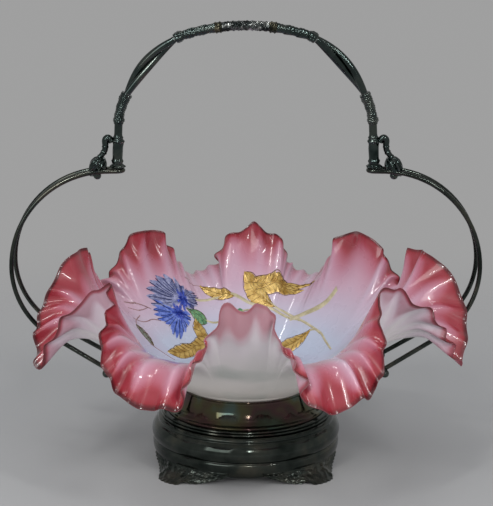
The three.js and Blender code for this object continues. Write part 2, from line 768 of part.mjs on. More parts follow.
function bowlGeometry() {
  const level = (radius, height) => columns
    .filter((column, i) => i % 4 === 0)
    .map(({ out }) => out.clone().multiplyScalar(radius).setZ(height));
  const underside = bowlFootBottom + bowlFootHeight;
  const footInner = bowlFootRadius - bowlFootWall;
  const half = glassThickness / 2;
  const side = Math.sign(wallNormal(0, 1 / 2).y) * half;
  const outer = wallRingShares.map(([share, every]) => wallRing(share, -side, every));
  const inner = wallRingShares.map(([share, every]) => wallRing(share, side, every)).reverse();
  return skin([
    [new THREE.Vector3(0, 0, underside)],
    level(footInner, underside - half), level(footInner, bowlFootBottom),
    level(bowlFootRadius, bowlFootBottom), level(bowlFootRadius, bowlBodyBottom),
    ...outer, ...inner,
    level(footInner, underside + half), [new THREE.Vector3(0, 0, underside + glassThickness)],
  ]);
}

const basket = new THREE.Group();

function add(parent, name, geometry, material) {
  const mesh = new THREE.Mesh(closed(geometry), material);
  mesh.name = name;
  parent.add(mesh);
}

add(basket, 'base_shell', shellGeometry(), plated);
add(basket, 'base_plate', plateGeometry(), plated);
add(basket, 'ring_moulding', ringGeometry(), plated);
add(basket, 'bowl_cup', cupGeometry(), polished);
add(basket, 'centre_bolt', boltGeometry(), plated);
add(basket, 'centre_washer', washerGeometry(), plated);
add(basket, 'centre_nut', nutGeometry(), plated);
add(basket, 'handle_grip', gripGeometry(), brassy);
add(basket, 'glass_bowl', bowlGeometry(), rosyGlass);

// One foot under each corner, a quarter turn apart
['front_right', 'back_right', 'back_left', 'front_left'].forEach((corner, k) => {
  const quarter = new THREE.Group();
  quarter.rotation.z = Math.PI / 4 + (k * Math.PI) / 2;
  add(quarter, `foot_${corner}`, footGeometry(), plated);
  basket.add(quarter);
});

// Everything on the right is repeated on the left, half a turn round the middle.
for (const side of ['right', 'left']) {
  const half = new THREE.Group();
  half.rotation.z = side === 'right' ? 0 : Math.PI;
  add(half, `wire_${side}`, wireGeometry(), plated);
  add(half, `wire_tie_${side}`, tieGeometry(), plated);
  add(half, `leaf_clamp_${side}`, clampGeometry(), plated);
  add(half, `scroll_${side}`, scrollGeometry(), plated);
  add(half, `post_foot_${side}`, capGeometry(), plated);
  add(half, `post_${side}`, postGeometry(), plated);
  add(half, `branch_socket_${side}`, socketGeometry(), plated);
  add(half, `outer_branch_${side}`, branchGeometry(0), plated);
  add(half, `inner_branch_${side}`, branchGeometry(Math.PI), plated);
  add(half, `branch_knot_${side}`, knotGeometry(), plated);
  add(half, `grip_sheath_${side}`, onCrown(sheathStart, sheathEnd, sheathShares, sheathRadius), plated);
  const collar = onCrown(collarStart, collarStart + collarLength, collarShares, collarRadius);
  add(half, `grip_collar_${side}`, collar, brassy);
  basket.add(half);
}

export default basket;
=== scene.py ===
import math

import bpy
import numpy as np
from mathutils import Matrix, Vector


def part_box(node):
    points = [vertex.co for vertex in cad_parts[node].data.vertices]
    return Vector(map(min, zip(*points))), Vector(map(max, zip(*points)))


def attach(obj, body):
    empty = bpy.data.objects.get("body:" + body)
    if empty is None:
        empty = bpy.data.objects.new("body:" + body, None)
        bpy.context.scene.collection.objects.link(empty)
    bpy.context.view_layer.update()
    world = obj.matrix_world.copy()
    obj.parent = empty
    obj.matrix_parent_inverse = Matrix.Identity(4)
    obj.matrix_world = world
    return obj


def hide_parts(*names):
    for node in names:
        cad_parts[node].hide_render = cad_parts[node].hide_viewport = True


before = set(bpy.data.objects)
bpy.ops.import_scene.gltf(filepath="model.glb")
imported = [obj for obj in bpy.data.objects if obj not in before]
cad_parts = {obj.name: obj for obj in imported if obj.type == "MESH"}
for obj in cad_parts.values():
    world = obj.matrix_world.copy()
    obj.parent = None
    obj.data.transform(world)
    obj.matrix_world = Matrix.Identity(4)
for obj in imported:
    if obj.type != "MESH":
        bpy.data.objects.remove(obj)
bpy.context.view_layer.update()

MM = 0.001

# Base, from the table upwards
FOOT_HEIGHT = 9 * MM
FOOT_TOP_RADIUS = 59.6 * MM
FOOT_WALL = 2.8 * MM
TOE_REACH = 12.4 * MM
FOOT_HALF_SWEEP = math.radians(34)
SEAM = 0.3 * MM
SHELL_RADIUS = 61.3 * MM
SHELL_HEIGHT = 22 * MM
SHELL_WALL = 1.3 * MM
SHELL_LIP = 7 * MM
SHOULDER_WIDTH = 8 * MM
PLATE_RADIUS = 56 * MM
RING_INNER = 50 * MM
RING_WIDTH = 5.4 * MM
RING_HEIGHT = 3.1 * MM
CUP_LIP = 41.5 * MM
CUP_WALL = 1.3 * MM
CUP_FLARE = 8.8 * MM
CUP_HEIGHT = 15.7 * MM
CUP_FOOT_WALL = 3 * MM
SEAT_DEPTH = 2.1 * MM
BOLT_HOLE = 2.8 * MM

SHELL_BOTTOM = FOOT_HEIGHT
SHOULDER_TOP = SHELL_BOTTOM + SHELL_HEIGHT
RING_BOTTOM = SHOULDER_TOP + SEAM
CUP_BOTTOM = RING_BOTTOM + RING_HEIGHT + SEAM
CUP_TOP = CUP_BOTTOM + CUP_HEIGHT
SEAT_TOP = CUP_TOP - SEAT_DEPTH
CUP_TOP_RADIUS = CUP_LIP + CUP_WALL

# Wire hoops
WIRE_RADIUS = 1.5 * MM
HOOP_REACH = 149.5 * MM
HOOP_MID_HEIGHT = 130.6 * MM
HOOP_LOW_RADIUS = 52.3 * MM
HOOP_TOP_RADIUS = 61.1 * MM
HOOP_FOOT_SPREAD = 19.5 * MM
HOOP_LOOP_RADIUS = 4 * MM
LOOP_CENTRE = 82 * MM
HOOP_TOP = HOOP_MID_HEIGHT + HOOP_TOP_RADIUS
SPREAD_EASE = 1.15
TIE_BAR_RADIUS = 1.2 * MM
TIE_BALL_RADIUS = 2.75 * MM

# Handle
CLAMP_REACH = 94.6 * MM
CLAMP_LENGTH = 10 * MM
CLAMP_WIDTH = 16.4 * MM
CLAMP_HEIGHT = 10.6 * MM
CLAMP_LIFT = 2.2 * MM
SCROLL_RADIUS = 1.6 * MM
SCROLL_RISE = 13 * MM
POST_REACH = 81.6 * MM
POST_LEAN = 1.2 * MM
POST_HEIGHT = 26.2 * MM
POST_RADIUS = 3.1 * MM
CAP_HEIGHT = 2.4 * MM
CAP_RADIUS = 5 * MM
SOCKET_LEAN = 5.6 * MM
SOCKET_HEIGHT = 18.5 * MM
SOCKET_RADIUS = 3.4 * MM
BRANCH_RADIUS = 2 * MM
BRANCH_BOW = 3.2 * MM
KNOT_REACH = 42 * MM
KNOT_RISE = 36 * MM
KNOT_RADIUS = 3.5 * MM
KNOT_LENGTH = 5 * MM
CROWN_RISE = 7 * MM
SHEATH_RADIUS = 3.1 * MM
COLLAR_RADIUS = 3.7 * MM
COLLAR_LENGTH = 4 * MM
GRIP_RADIUS = 3.1 * MM
GRIP_LENGTH = 30.6 * MM
HANDLE_DEPTH = 1.26

# Glass bowl
BOWL_FOOT_RADIUS = 41.2 * MM
BOWL_FOOT_WALL = 4.6 * MM
BOWL_FOOT_HEIGHT = 5.6 * MM
BOWL_FOOT_RISE = 2.2 * MM
BOWL_FOOT_BOTTOM = SEAT_TOP + SEAM
BOWL_BODY_BOTTOM = BOWL_FOOT_BOTTOM + BOWL_FOOT_RISE
GLASS = 2.6 * MM
CREST_RADIUS = 106 * MM
CREST_RISE = 84 * MM
DROOP_RADIUS = 140 * MM
DROOP_RISE = 24 * MM
SADDLE_RISE = 42 * MM

# Meshes: how close points are merged, and up to what edge angle the shading is smooth
WELD = 0.001 * MM
TURNED_WELD = 0.01 * MM
SMOOTH_ANGLE = math.radians(38)
SIDES = (("right", 1), ("left", -1))


# Smooth lines

CURVE_STEPS = 40


def smooth_line(points, shares, ring=False):
    """Points on a smooth curve through the given ones, at shares of the way by count."""
    points = np.array(points, float)
    if ring:
        spans = len(points)
        padded = np.vstack([points[-1:], points, points[:2]])
    else:
        spans = len(points) - 1
        padded = np.vstack([2 * points[0] - points[1], points, 2 * points[-1] - points[-2]])
    place = np.clip(np.asarray(shares, float), 0, 1) * spans
    span = np.minimum(place.astype(int), spans - 1)
    t = (place - span)[:, None]
    before, start, end, after = (padded[span + k] for k in range(4))
    step0, step1, step2 = (
        np.maximum(np.linalg.norm(b - a, axis=1, keepdims=True), 1e-9) ** 0.5
        for a, b in ((before, start), (start, end), (end, after))
    )
    leave = (start - before) / step0 - (end - before) / (step0 + step1) + (end - start) / step1
    reach = (end - start) / step1 - (after - start) / (step1 + step2) + (after - end) / step2
    leave, reach = leave * step1, reach * step1
    bend = -3 * start + 3 * end - 2 * leave - reach
    twist = 2 * start - 2 * end + leave + reach
    return start + leave * t + bend * t**2 + twist * t**3


def run_along(line):
    """How far along a line each of its points lies."""
    steps = np.linalg.norm(np.diff(np.array(line, float), axis=0), axis=1)
    return np.concatenate([[0], np.cumsum(steps)])


def at_lengths(line, stops):
    """The points of a line at the given lengths along it."""
    line = np.array(line, float)
    run = run_along(line)
    return np.stack([np.interp(stops, run, line[:, k]) for k in range(line.shape[1])], axis=1)


def cut(line, start, end, count):
    """Evenly spaced points on a line, between two lengths along it."""
    return at_lengths(line, np.linspace(start, end, count))


def even_line(points, count, ring=False):
    """A smooth curve through the given points, cut into evenly long steps."""
    dense = smooth_line(points, np.linspace(0, 1, CURVE_STEPS * len(points) + 1), ring)
    return cut(dense, 0, run_along(dense)[-1], count + 1 if ring else count)[:count]


def smoothstep(x, low, high):
    x = np.clip((np.asarray(x, float) - low) / (high - low), 0, 1)
    return x * x * (3 - 2 * x)


def bulge(place, middle, width):
    """A soft hump, one high at its middle."""
    return np.exp(-(((place - middle) / width) ** 2))


def follow(pairs, share):
    """A value that runs straight from pair to pair of [share, value]."""
    pairs = np.array(pairs, float)
    return np.interp(share, pairs[:, 0], pairs[:, 1])


def directions_along(line):
    """Unit directions along a line, at each of its points."""
    along = np.gradient(line, axis=0)
    return along / np.linalg.norm(along, axis=1, keepdims=True)


def bezier(start, pull, end, shares):
    t = np.asarray(shares, float)[:, None]
    start, pull, end = (np.array(p, float) for p in (start, pull, end))
    return (1 - t) ** 2 * start + 2 * t * (1 - t) * pull + t**2 * end


# Materials

DISPLAY_GAMMA = 2.2


def linear(red, green, blue):
    """Socket colour for a colour as seen, 0 to 255."""
    return tuple((c / 255) ** DISPLAY_GAMMA for c in (red, green, blue)) + (1,)


def tints(*stops):
    """Stops of a ramp from (position, red, green, blue), with the colours as seen."""
    return [(position, linear(*colour)) for position, *colour in stops]


class Nodes:
    """The node tree of a material or world, with short calls for the nodes used here."""

    def __init__(self, holder):
        holder.use_nodes = True
        self.holder = holder
        self.tree = holder.node_tree
        self.shader = self.tree.nodes.get("Principled BSDF")

    def add(self, kind, settings=None, **inputs):
        node = self.tree.nodes.new(kind)
        for key, value in (settings or {}).items():
            setattr(node, key, value)
        for key, value in inputs.items():
            self.feed(node.inputs[key.replace("_", " ")], value)
        return node

    def feed(self, socket, value):
        if isinstance(value, bpy.types.NodeSocket):
            self.tree.links.new(value, socket)
        else:
            socket.default_value = value

    def place(self):
        return self.add("ShaderNodeTexCoord").outputs["Object"]

    def noise(self, scale, detail=3, roughness=0.5, place=None):
        return self.add(
            "ShaderNodeTexNoise", Vector=place or self.place(), Scale=scale, Detail=detail,
            Roughness=roughness,
        ).outputs["Fac"]

    def ramp(self, value, stops):
        node = self.add("ShaderNodeValToRGB", Fac=value)
        while len(node.color_ramp.elements) < len(stops):
            node.color_ramp.elements.new(0.5)
        for element, (position, colour) in zip(node.color_ramp.elements, stops):
            element.position = position
            element.color = colour if isinstance(colour, tuple) else (colour, colour, colour, 1)
        return node.outputs["Color"]

    def maths(self, operation, a, b=0.0):
        node = self.add("ShaderNodeMath", {"operation": operation})
        self.feed(node.inputs[0], a)
        self.feed(node.inputs[1], b)
        return node.outputs["Value"]

    def mix(self, share, a, b, blend="MIX"):
        node = self.add("ShaderNodeMix", {"data_type": "RGBA", "blend_type": blend})
        self.feed(node.inputs[0], share)
        self.feed(node.inputs[6], a)
        self.feed(node.inputs[7], b)
        return node.outputs[2]

    def bump(self, height, distance, strength=1.0):
        return self.add(
            "ShaderNodeBump", Height=height, Distance=distance, Strength=strength,
        ).outputs["Normal"]

    def finish(self, **inputs):
        for key, value in inputs.items():
            self.feed(self.shader.inputs[key.replace("_", " ")], value)
        return self.holder

    def surface(self, output, share, first, second):
        """Sends a blend of two shaders to the named output."""
        blend = self.add("ShaderNodeMixShader", Fac=share)
        self.feed(blend.inputs[1], first)
        self.feed(blend.inputs[2], second)
        self.feed(self.tree.nodes[output].inputs["Surface"], blend.outputs["Shader"])


def new_material(name):
    return Nodes(bpy.data.materials.new(name))


COLLAR_TINTS = tints((0.42, 48, 50, 44), (0.56, 88, 86, 72), (0.68, 156, 150, 124))
GRIP_TINTS = tints((0.4, 40, 44, 44), (0.54, 92, 96, 95), (0.64, 176, 178, 174))
PLATE_TINTS = tints((0.3, 42, 48, 45), (0.5, 68, 73, 69), (0.7, 92, 91, 82))
HANDLE_TINTS = tints((0.3, 42, 51, 49), (0.5, 68, 77, 75), (0.7, 92, 96, 90))
MIRROR_TINTS = tints(
    (0.32, 82, 104, 104), (0.45, 86, 84, 64), (0.54, 80, 62, 62), (0.64, 64, 68, 58), (0.74, 78, 98, 88),
)
STEEL_TINTS = tints((0.4, 128, 130, 128), (0.62, 96, 84, 70))
PLATE_ROUGHNESS = [(0.35, 0.06), (0.65, 0.22)]
MIRROR_ROUGHNESS = [(0.35, 0.06), (0.7, 0.16)]
STEEL_ROUGHNESS = [(0.4, 0.28), (0.65, 0.55)]
BRASS_ROUGHNESS = [(0.3, 0.32), (0.7, 0.16)]
GRAIN = 420
GRAIN_DEPTH = 0.05 * MM
CAST_GRAIN = 430
CAST_DEPTH = 0.9 * MM
WEAR_DEPTH = 0.08 * MM
ENAMEL_DEPTH = 0.04 * MM


def tarnished_plate(name, colours, grain, grain_depth):
    """Silver plate gone nearly black and a little green, duller in patches."""
    n = new_material(name)
    blotch = n.noise(55, 4, 0.6)
    fine = n.noise(GRAIN)
    dull = n.maths("ADD", n.maths("MULTIPLY", blotch, 0.6), n.maths("MULTIPLY", fine, 0.4))
    return n.finish(
        Base_Color=n.ramp(blotch, colours), Metallic=1, Roughness=n.ramp(dull, PLATE_ROUGHNESS),
        Normal=n.bump(n.noise(grain), grain_depth, 0.35),
    )


def polished_plate(name):
    """The cup's mirror, stained brown, green and plum by tarnish."""
    n = new_material(name)
    colour = n.ramp(n.noise(26, 3, 0.55), MIRROR_TINTS)
    rough = n.ramp(n.noise(90, 4, 0.6), MIRROR_ROUGHNESS)
    return n.finish(Base_Color=colour, Metallic=1, Roughness=rough)


def steel_fixings(name):
    """Bare steel with brown spots, which are duller."""
    n = new_material(name)
    spots = n.noise(300, 4, 0.6)
    return n.finish(
        Base_Color=n.ramp(spots, STEEL_TINTS), Metallic=1, Roughness=n.ramp(spots, STEEL_ROUGHNESS),
    )


def worn_brass(name, colours):
    """Plate worn through to a greenish brass on what the hand rubs."""
    n = new_material(name)
    wear = n.noise(300, 4, 0.6)
    return n.finish(
        Base_Color=n.ramp(wear, colours), Metallic=1, Roughness=n.ramp(wear, BRASS_ROUGHNESS),
        Normal=n.bump(wear, WEAR_DEPTH, 0.4),
    )


# Glass colours from the bowl's middle to its rim, as shares of the wall
INSIDE_TINTS = tints(
    (0, 166, 178, 198), (0.26, 172, 178, 196), (0.42, 182, 170, 186), (0.58, 184, 150, 166),
    (0.73, 174, 120, 136), (0.84, 161, 91, 105), (0.91, 145, 58, 68), (0.97, 126, 35, 43), (1, 64, 13, 20),
)
OUTSIDE_TINTS = tints(
    (0, 182, 176, 170), (0.45, 183, 178, 177), (0.68, 186, 176, 182), (0.85, 182, 163, 174),
    (0.94, 160, 124, 136), (0.98, 132, 58, 70), (1, 84, 22, 30),
)
INSIDE_SMUDGE = (0.94, 0.94, 0.95, 1)
OUTSIDE_SMUDGE = (0.88, 0.9, 0.89, 1)
# Dark grey-green of the front cloud, also used as painted shade near the top of the front crest
CLOUD_AND_SHADE_COLOUR = (0.24, 0.27, 0.25, 1)
FLUSH_COLOUR = linear(156, 72, 90)
GLASS_RIPPLE = 0.12 * MM
SKIN_RIPPLE = 0.34 * MM


def glass(name, colours, roughness, coat, coat_rough, smudge, cloud_and_shade):
    """Cased glass under a fire-polished skin, coloured along the wall; at the front clouded grey-green,
    with painted shade that darkens it towards the top.
    """
    n = new_material(name)
    way = n.add("ShaderNodeUVMap", {"uv_map": "wall"}).outputs["UV"]
    ways = n.add("ShaderNodeSeparateXYZ", Vector=way)
    share = ways.outputs["Y"]
    drift = n.maths("MULTIPLY", n.maths("SUBTRACT", n.noise(34), 0.5), 0.06)
    colour = n.ramp(n.maths("ADD", share, drift), colours)
    colour = n.mix(1, colour, n.ramp(n.noise(16), [(0.47, 1), (0.64, smudge)]), "MULTIPLY")
    facing = n.maths("COSINE", n.maths("MULTIPLY", ways.outputs["X"], 2 * math.pi))
    front = n.maths("MULTIPLY", n.ramp(facing, [(0.95, 0), (0.985, 1)]), cloud_and_shade)
    flat = n.add("ShaderNodeMapping", Vector=n.place(), Scale=(0.9, 1, 2)).outputs["Vector"]
    cloud_and_shade_mask = n.ramp(n.noise(27, 2, 0.4, flat), [(0.46, 0), (0.64, 1)])
    # Painted shade: on the front crest the dark cloud colour also deepens towards the top of the wall
    cloud_and_shade_mask = n.maths("MAXIMUM", cloud_and_shade_mask, n.ramp(share, [(0.64, 0), (0.84, 0.62)]))
    colour = n.mix(n.maths("MULTIPLY", front, cloud_and_shade_mask), colour, CLOUD_AND_SHADE_COLOUR)
    flush = n.ramp(share, [(0.74, 0), (0.97, 0.85)])
    colour = n.mix(n.maths("MULTIPLY", front, flush), colour, FLUSH_COLOUR)
    return n.finish(
        Base_Color=colour, Roughness=n.ramp(n.noise(60), roughness),
        Coat_Weight=coat, Coat_Roughness=coat_rough,
        Normal=n.bump(n.noise(120, 2), GLASS_RIPPLE, 0.5),
        Coat_Normal=n.bump(n.noise(100, 2), SKIN_RIPPLE, 0.6),
    )


def enamel(name, dark, pale, rough, metallic=0, scale=900):
    """Fired enamel or gilding, finely mottled between two colours as seen."""
    n = new_material(name)
    grain = n.noise(scale, 4, 0.6)
    return n.finish(
        Base_Color=n.ramp(grain, tints((0.35, *dark), (0.65, *pale))), Roughness=rough,
        Metallic=metallic, Normal=n.bump(grain, ENAMEL_DEPTH, 0.5),
    )


FINISHES = {
    "tarnished_plate": tarnished_plate("tarnished_plate", PLATE_TINTS, GRAIN, GRAIN_DEPTH),
    "handle_plate": tarnished_plate("handle_plate", HANDLE_TINTS, GRAIN, GRAIN_DEPTH),
    "cast_plate": tarnished_plate("cast_plate", PLATE_TINTS, CAST_GRAIN, CAST_DEPTH),
    "polished_plate": polished_plate("polished_plate"),
    "steel_fixings": steel_fixings("steel_fixings"),
    "worn_brass": worn_brass("worn_brass", COLLAR_TINTS),
    "worn_grip": worn_brass("worn_grip", GRIP_TINTS),
}
inside_glass = glass(
    "cased_glass_inside", INSIDE_TINTS, [(0.3, 0.22), (0.7, 0.34)], 0.75, 0.015, INSIDE_SMUDGE, 0,
)
outside_glass = glass(
    "cased_glass_outside", OUTSIDE_TINTS, [(0.3, 0.4), (0.7, 0.5)], 0.35, 0.16, OUTSIDE_SMUDGE, 0.55,
)


# Making pieces

def deselect():
    if bpy.context.object and bpy.context.object.mode != "OBJECT":
        bpy.ops.object.mode_set(mode="OBJECT")
    bpy.ops.object.select_all(action="DESELECT")


def point_outwards(weld=0):
    """Turns the active object's faces outwards, once points closer than the weld are merged."""
    bpy.ops.object.mode_set(mode="EDIT")
    bpy.ops.mesh.select_all(action="SELECT")
    if weld:
        bpy.ops.mesh.remove_doubles(threshold=weld)
    bpy.ops.mesh.normals_make_consistent(inside=False)
    bpy.ops.object.mode_set(mode="OBJECT")


def new_piece(name, points, faces, finishes=()):
    """A new active object from points and faces."""
    mesh = bpy.data.meshes.new(name)
    mesh.from_pydata([tuple(p) for p in points], [], faces)
    for finish in finishes:
        mesh.materials.append(finish)
    piece = bpy.data.objects.new(name, mesh)
    bpy.context.scene.collection.objects.link(piece)
    deselect()
    bpy.context.view_layer.objects.active = piece
    piece.select_set(True)
    return piece


def settle(name, finish, node=None, body="stand"):
    """Names the active object, bakes its place into its mesh and hands it to its body."""
    piece = bpy.context.active_object
    piece.name = name
    piece.data.name = name
    bpy.ops.object.transform_apply(location=True, rotation=True, scale=True)
    piece.data.materials.clear()
    piece.data.materials.append(FINISHES[finish])
    bpy.ops.object.shade_smooth_by_angle(angle=SMOOTH_ANGLE)
    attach(piece, body)
    if node:
        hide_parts(node)
    deselect()
    return piece


def turned_piece(name, profile, sides, finish, node):
    """A turned piece from [radius, height] pairs: one circle, extruded from pair to pair."""
    deselect()
    radius, height = profile[0]
    bpy.ops.mesh.primitive_circle_add(vertices=sides, radius=radius, location=(0, 0, height))
    bpy.ops.object.mode_set(mode="EDIT")
    for next_radius, next_height in profile[1:]:
        rise = (0, 0, next_height - height)
        grow = next_radius / radius
        bpy.ops.mesh.extrude_region_move(TRANSFORM_OT_translate={"value": rise})
        bpy.ops.transform.resize(value=(grow, grow, 1), center_override=(0, 0, next_height))
        radius, height = next_radius, next_height
    point_outwards(TURNED_WELD)
    return settle(name, finish, node)


def grid_faces(rows, columns, start=0, ring=False):
    """Faces between rows of points that follow one another; a ring closes each row."""
    faces = []
    for r in range(rows - 1):
        for c in range(columns if ring else columns - 1):
            a = start + r * columns + c
            b = start + r * columns + (c + 1) % columns
            faces.append((a, b, b + columns, a + columns))
    return faces


def tube_faces(rings, sides):
    """Faces of a closed tube: rings of points, and then a pole point for each end."""
    faces = grid_faces(rings, sides, ring=True)
    pole = rings * sides
    for i in range(sides):
        j = (i + 1) % sides
        faces += [(pole, j, i), (pole + 1, pole - sides + i, pole - sides + j)]
    return faces


def swept_mesh(line, radius, sides, depth=1.0, across=None):
    """Points and faces of a round bar along a line. Its radius is given by share and angle."""
    line = np.array(line, float)
    along = directions_along(line)
    if across is None:
        across = np.stack([along[:, 2], 0 * along[:, 0], -along[:, 0]], axis=1)
        across /= np.linalg.norm(across, axis=1, keepdims=True)
    third = np.cross(across, along)
    shares = np.linspace(0, 1, len(line))[:, None]
    turns = np.linspace(0, 2 * math.pi, sides, endpoint=False)[None, :]
    size = radius(shares, turns)[..., None]
    rings = line[:, None] + size * (
        np.cos(turns)[..., None] * across[:, None] + depth * np.sin(turns)[..., None] * third[:, None]
    )
    return [*rings.reshape(-1, 3), line[0], line[-1]], tube_faces(len(line), sides)


def swept_piece(name, line, radius, sides, finish, node=None, depth=1.0, across=None):
    new_piece(name, *swept_mesh(line, radius, sides, depth, across))
    point_outwards(WELD)
    return settle(name, finish, node)


def on_both_sides(name, line, radius, sides, node, finish="handle_plate", depth=1.0, across=None):
    """The piece on the right, and the same on the left, half a turn round the middle."""
    for side, sign in SIDES:
        turned_line = np.array(line) * [sign, sign, 1]
        swept_piece(f"{name}_{side}", turned_line, radius, sides, finish, f"{node}_{side}", depth, across)


# Base: spun shell, ring, cup

SHELL_OUTER_SHARES = [
    (0.984, 0), (0.989, 0.07), (0.99, 0.15), (0.988, 0.22), (0.98, 0.262), (0.973, 0.285),
    (0.975, 0.3), (0.984, 0.335), (0.993, 0.4), (1, 0.5), (0.998, 0.58), (0.99, 0.665),
    (0.973, 0.755), (0.952, 0.81), (0.937, 0.835), (0.932, 0.86), (0.937, 0.885), (0.935, 0.93),
    (0.925, 0.965), (0.904, 1),
]
RING_SHARES = [
    (0, 0), (0.86, 0), (0.95, 0.07), (1, 0.25), (0.95, 0.43), (0.84, 0.52), (0.76, 0.55),
    (0.8, 0.62), (0.84, 0.77), (0.8, 0.92), (0.7, 1), (0, 1),
]
CUP_OUTER_SHARES = [
    (1, 0), (1, 0.035), (0.97, 0.065), (0.75, 0.09), (0.58, 0.13), (0.42, 0.2), (0.3, 0.29),
    (0.2, 0.4), (0.12, 0.52), (0.06, 0.66), (0.025, 0.8), (0, 0.93), (0.03, 0.965), (0, 1),
]
SHELL_INNER_SHARES = [(0.9, 0.9), (0.966, 0.74), (1, 0.5), (0.98, 0.29)]
CUP_INNER_SHARES = [(0.12, 0.52), (0.32, 0.29), (0.62, 0.15)]
TURNED_SIDES = 160
PROFILE_STEPS = 3


def finer(pairs):
    return [tuple(p) for p in smooth_line(pairs, np.linspace(0, 1, PROFILE_STEPS * (len(pairs) - 1) + 1))]


def shell_profile():
    outer = [(r * SHELL_RADIUS, SHELL_BOTTOM + h * SHELL_HEIGHT) for r, h in finer(SHELL_OUTER_SHARES)]
    inner = [
        (r * SHELL_RADIUS - SHELL_WALL, SHELL_BOTTOM + h * SHELL_HEIGHT) for r, h in SHELL_INNER_SHARES
    ]
    lip = outer[0][0] - SHELL_LIP
    shoulder = outer[-1][0] - SHOULDER_WIDTH
    under = SHOULDER_TOP - SHELL_WALL
    return [
        (lip, SHELL_BOTTOM), *outer, (shoulder, SHOULDER_TOP), (shoulder, under),
        (outer[-1][0] - SHELL_WALL, under), *inner, (outer[0][0] - SHELL_WALL, SHELL_BOTTOM + SHELL_WALL),
        (lip, SHELL_BOTTOM + SHELL_WALL), (lip, SHELL_BOTTOM),
    ]


def ring_profile():
    closed = RING_SHARES + RING_SHARES[:1]
    return [(RING_INNER + r * RING_WIDTH, RING_BOTTOM + h * RING_HEIGHT) for r, h in closed]


def cup_profile():
    top = CUP_TOP_RADIUS
    outer = [(top + f * CUP_FLARE, CUP_BOTTOM + h * CUP_HEIGHT) for f, h in finer(CUP_OUTER_SHARES)]
    inner = [(top + f * CUP_FLARE - CUP_WALL, CUP_BOTTOM + h * CUP_HEIGHT) for f, h in CUP_INNER_SHARES]
    start = (CUP_TOP_RADIUS + CUP_FLARE - CUP_FOOT_WALL, CUP_BOTTOM)
    return [
        start, *outer, (CUP_LIP, CUP_TOP), (CUP_LIP, SEAT_TOP), (BOLT_HOLE, SEAT_TOP),
        (BOLT_HOLE, SEAT_TOP - CUP_WALL), (CUP_TOP_RADIUS - CUP_WALL, SEAT_TOP - CUP_WALL), *inner, start,
    ]


turned_piece("spun_shell", shell_profile(), TURNED_SIDES, "tarnished_plate", "base_shell")
turned_piece("double_bead_ring", ring_profile(), TURNED_SIDES, "tarnished_plate", "ring_moulding")
turned_piece("mirror_cup", cup_profile(), TURNED_SIDES, "polished_plate", "bowl_cup")


# Leaf feet: the edge as shares of the half sweep, of the toe's reach and of the height

FOOT_EDGE_SHARES = [
    (0, 1, 0), (0.1, 0.98, 0), (0.2, 0.88, 0), (0.28, 0.62, 0.2), (0.38, 0.42, 0.05),
    (0.5, 0.25, 0.09), (0.64, 0.1, 0.24), (0.82, 0.03, 0.47), (1, 0, 0.74),
]
FOOT_COLUMNS = 221
FOOT_ROWS = 44
VEIN_DEPTH = 0.7 * MM
TOE_CURVE = 1.75
FEET = (("front_right", 45), ("back_right", 135), ("back_left", 225), ("front_left", 315))


def acanthus(sweep, rows):
    """Relief of a foot, about -1 to 1: fronds that curl out from the middle, crossed by fine veins."""
    side = abs(sweep)
    frond = np.cos(13 * side + 3.2 * np.sin(3.4 * rows + 2.4 * side) - 4 * rows)
    vein = np.cos(34 * side * (1.1 - 0.5 * rows) + 9 * rows + 2 * np.sin(9 * side))
    curl = np.cos(21 * rows + 6 * np.sin(4.2 * side + 0.6))
    ripple = np.cos(52 * side + 17 * rows + 2.4 * np.sin(7 * side + 5 * rows))
    body = 0.4 * frond + 0.18 * vein + 0.22 * curl + 0.32 * ripple
    fade = np.sin(math.pi * np.clip(rows * 1.06, 0, 1)) ** 0.6
    beads = 0.8 * (0.5 + 0.5 * np.cos(70 * sweep)) * smoothstep(rows, 0.88, 0.95)
    return body * fade + beads


def foot_mesh(middle_turn):
    """Points and faces of one foot: a veined outside, a plain inside and the edges between."""
    top = FOOT_HEIGHT - SEAM
    half = np.array(FOOT_EDGE_SHARES)
    edge = np.vstack([half[:0:-1] * [-1, 1, 1], half])
    line = smooth_line(edge, np.linspace(0, 1, FOOT_COLUMNS))
    rows = np.linspace(0, 1, FOOT_ROWS)
    outer, inner = [], []
    for sweep, reach, rise in line:
        turn = sweep * FOOT_HALF_SWEEP
        low = max(rise, 0) * top
        out = FOOT_TOP_RADIUS + max(reach, 0) * TOE_REACH
        radius = FOOT_TOP_RADIUS + (out - FOOT_TOP_RADIUS) * rows**TOE_CURVE
        height = top + (low - top) * rows
        shell = radius + VEIN_DEPTH * acanthus(sweep, rows)
        way = (math.sin(turn + middle_turn), -math.cos(turn + middle_turn))
        outer.append([(r * way[0], r * way[1], z) for r, z in zip(shell, height)])
        inner.append([(r * way[0], r * way[1], z) for r, z in zip(radius - FOOT_WALL, height)])
    points = [p for column in outer + inner for p in column]
    back = FOOT_COLUMNS * FOOT_ROWS
    faces = grid_faces(FOOT_COLUMNS, FOOT_ROWS) + grid_faces(FOOT_COLUMNS, FOOT_ROWS, back)
    edges = [(c * FOOT_ROWS + r, FOOT_ROWS) for c in range(FOOT_COLUMNS - 1) for r in (0, FOOT_ROWS - 1)]
    edges += [(c * FOOT_ROWS + r, 1) for c in (0, FOOT_COLUMNS - 1) for r in range(FOOT_ROWS - 1)]
    faces += [(a, a + step, back + a + step, back + a) for a, step in edges]
    return points, faces


for corner, turn in FEET:
    new_piece(f"leaf_foot_{corner}", *foot_mesh(math.radians(turn)))
    point_outwards(WELD)
    settle(f"leaf_foot_{corner}", "cast_plate", f"foot_{corner}")


# Glass bowl: the rim as azimuth from the front, share of the reach and share of the rise

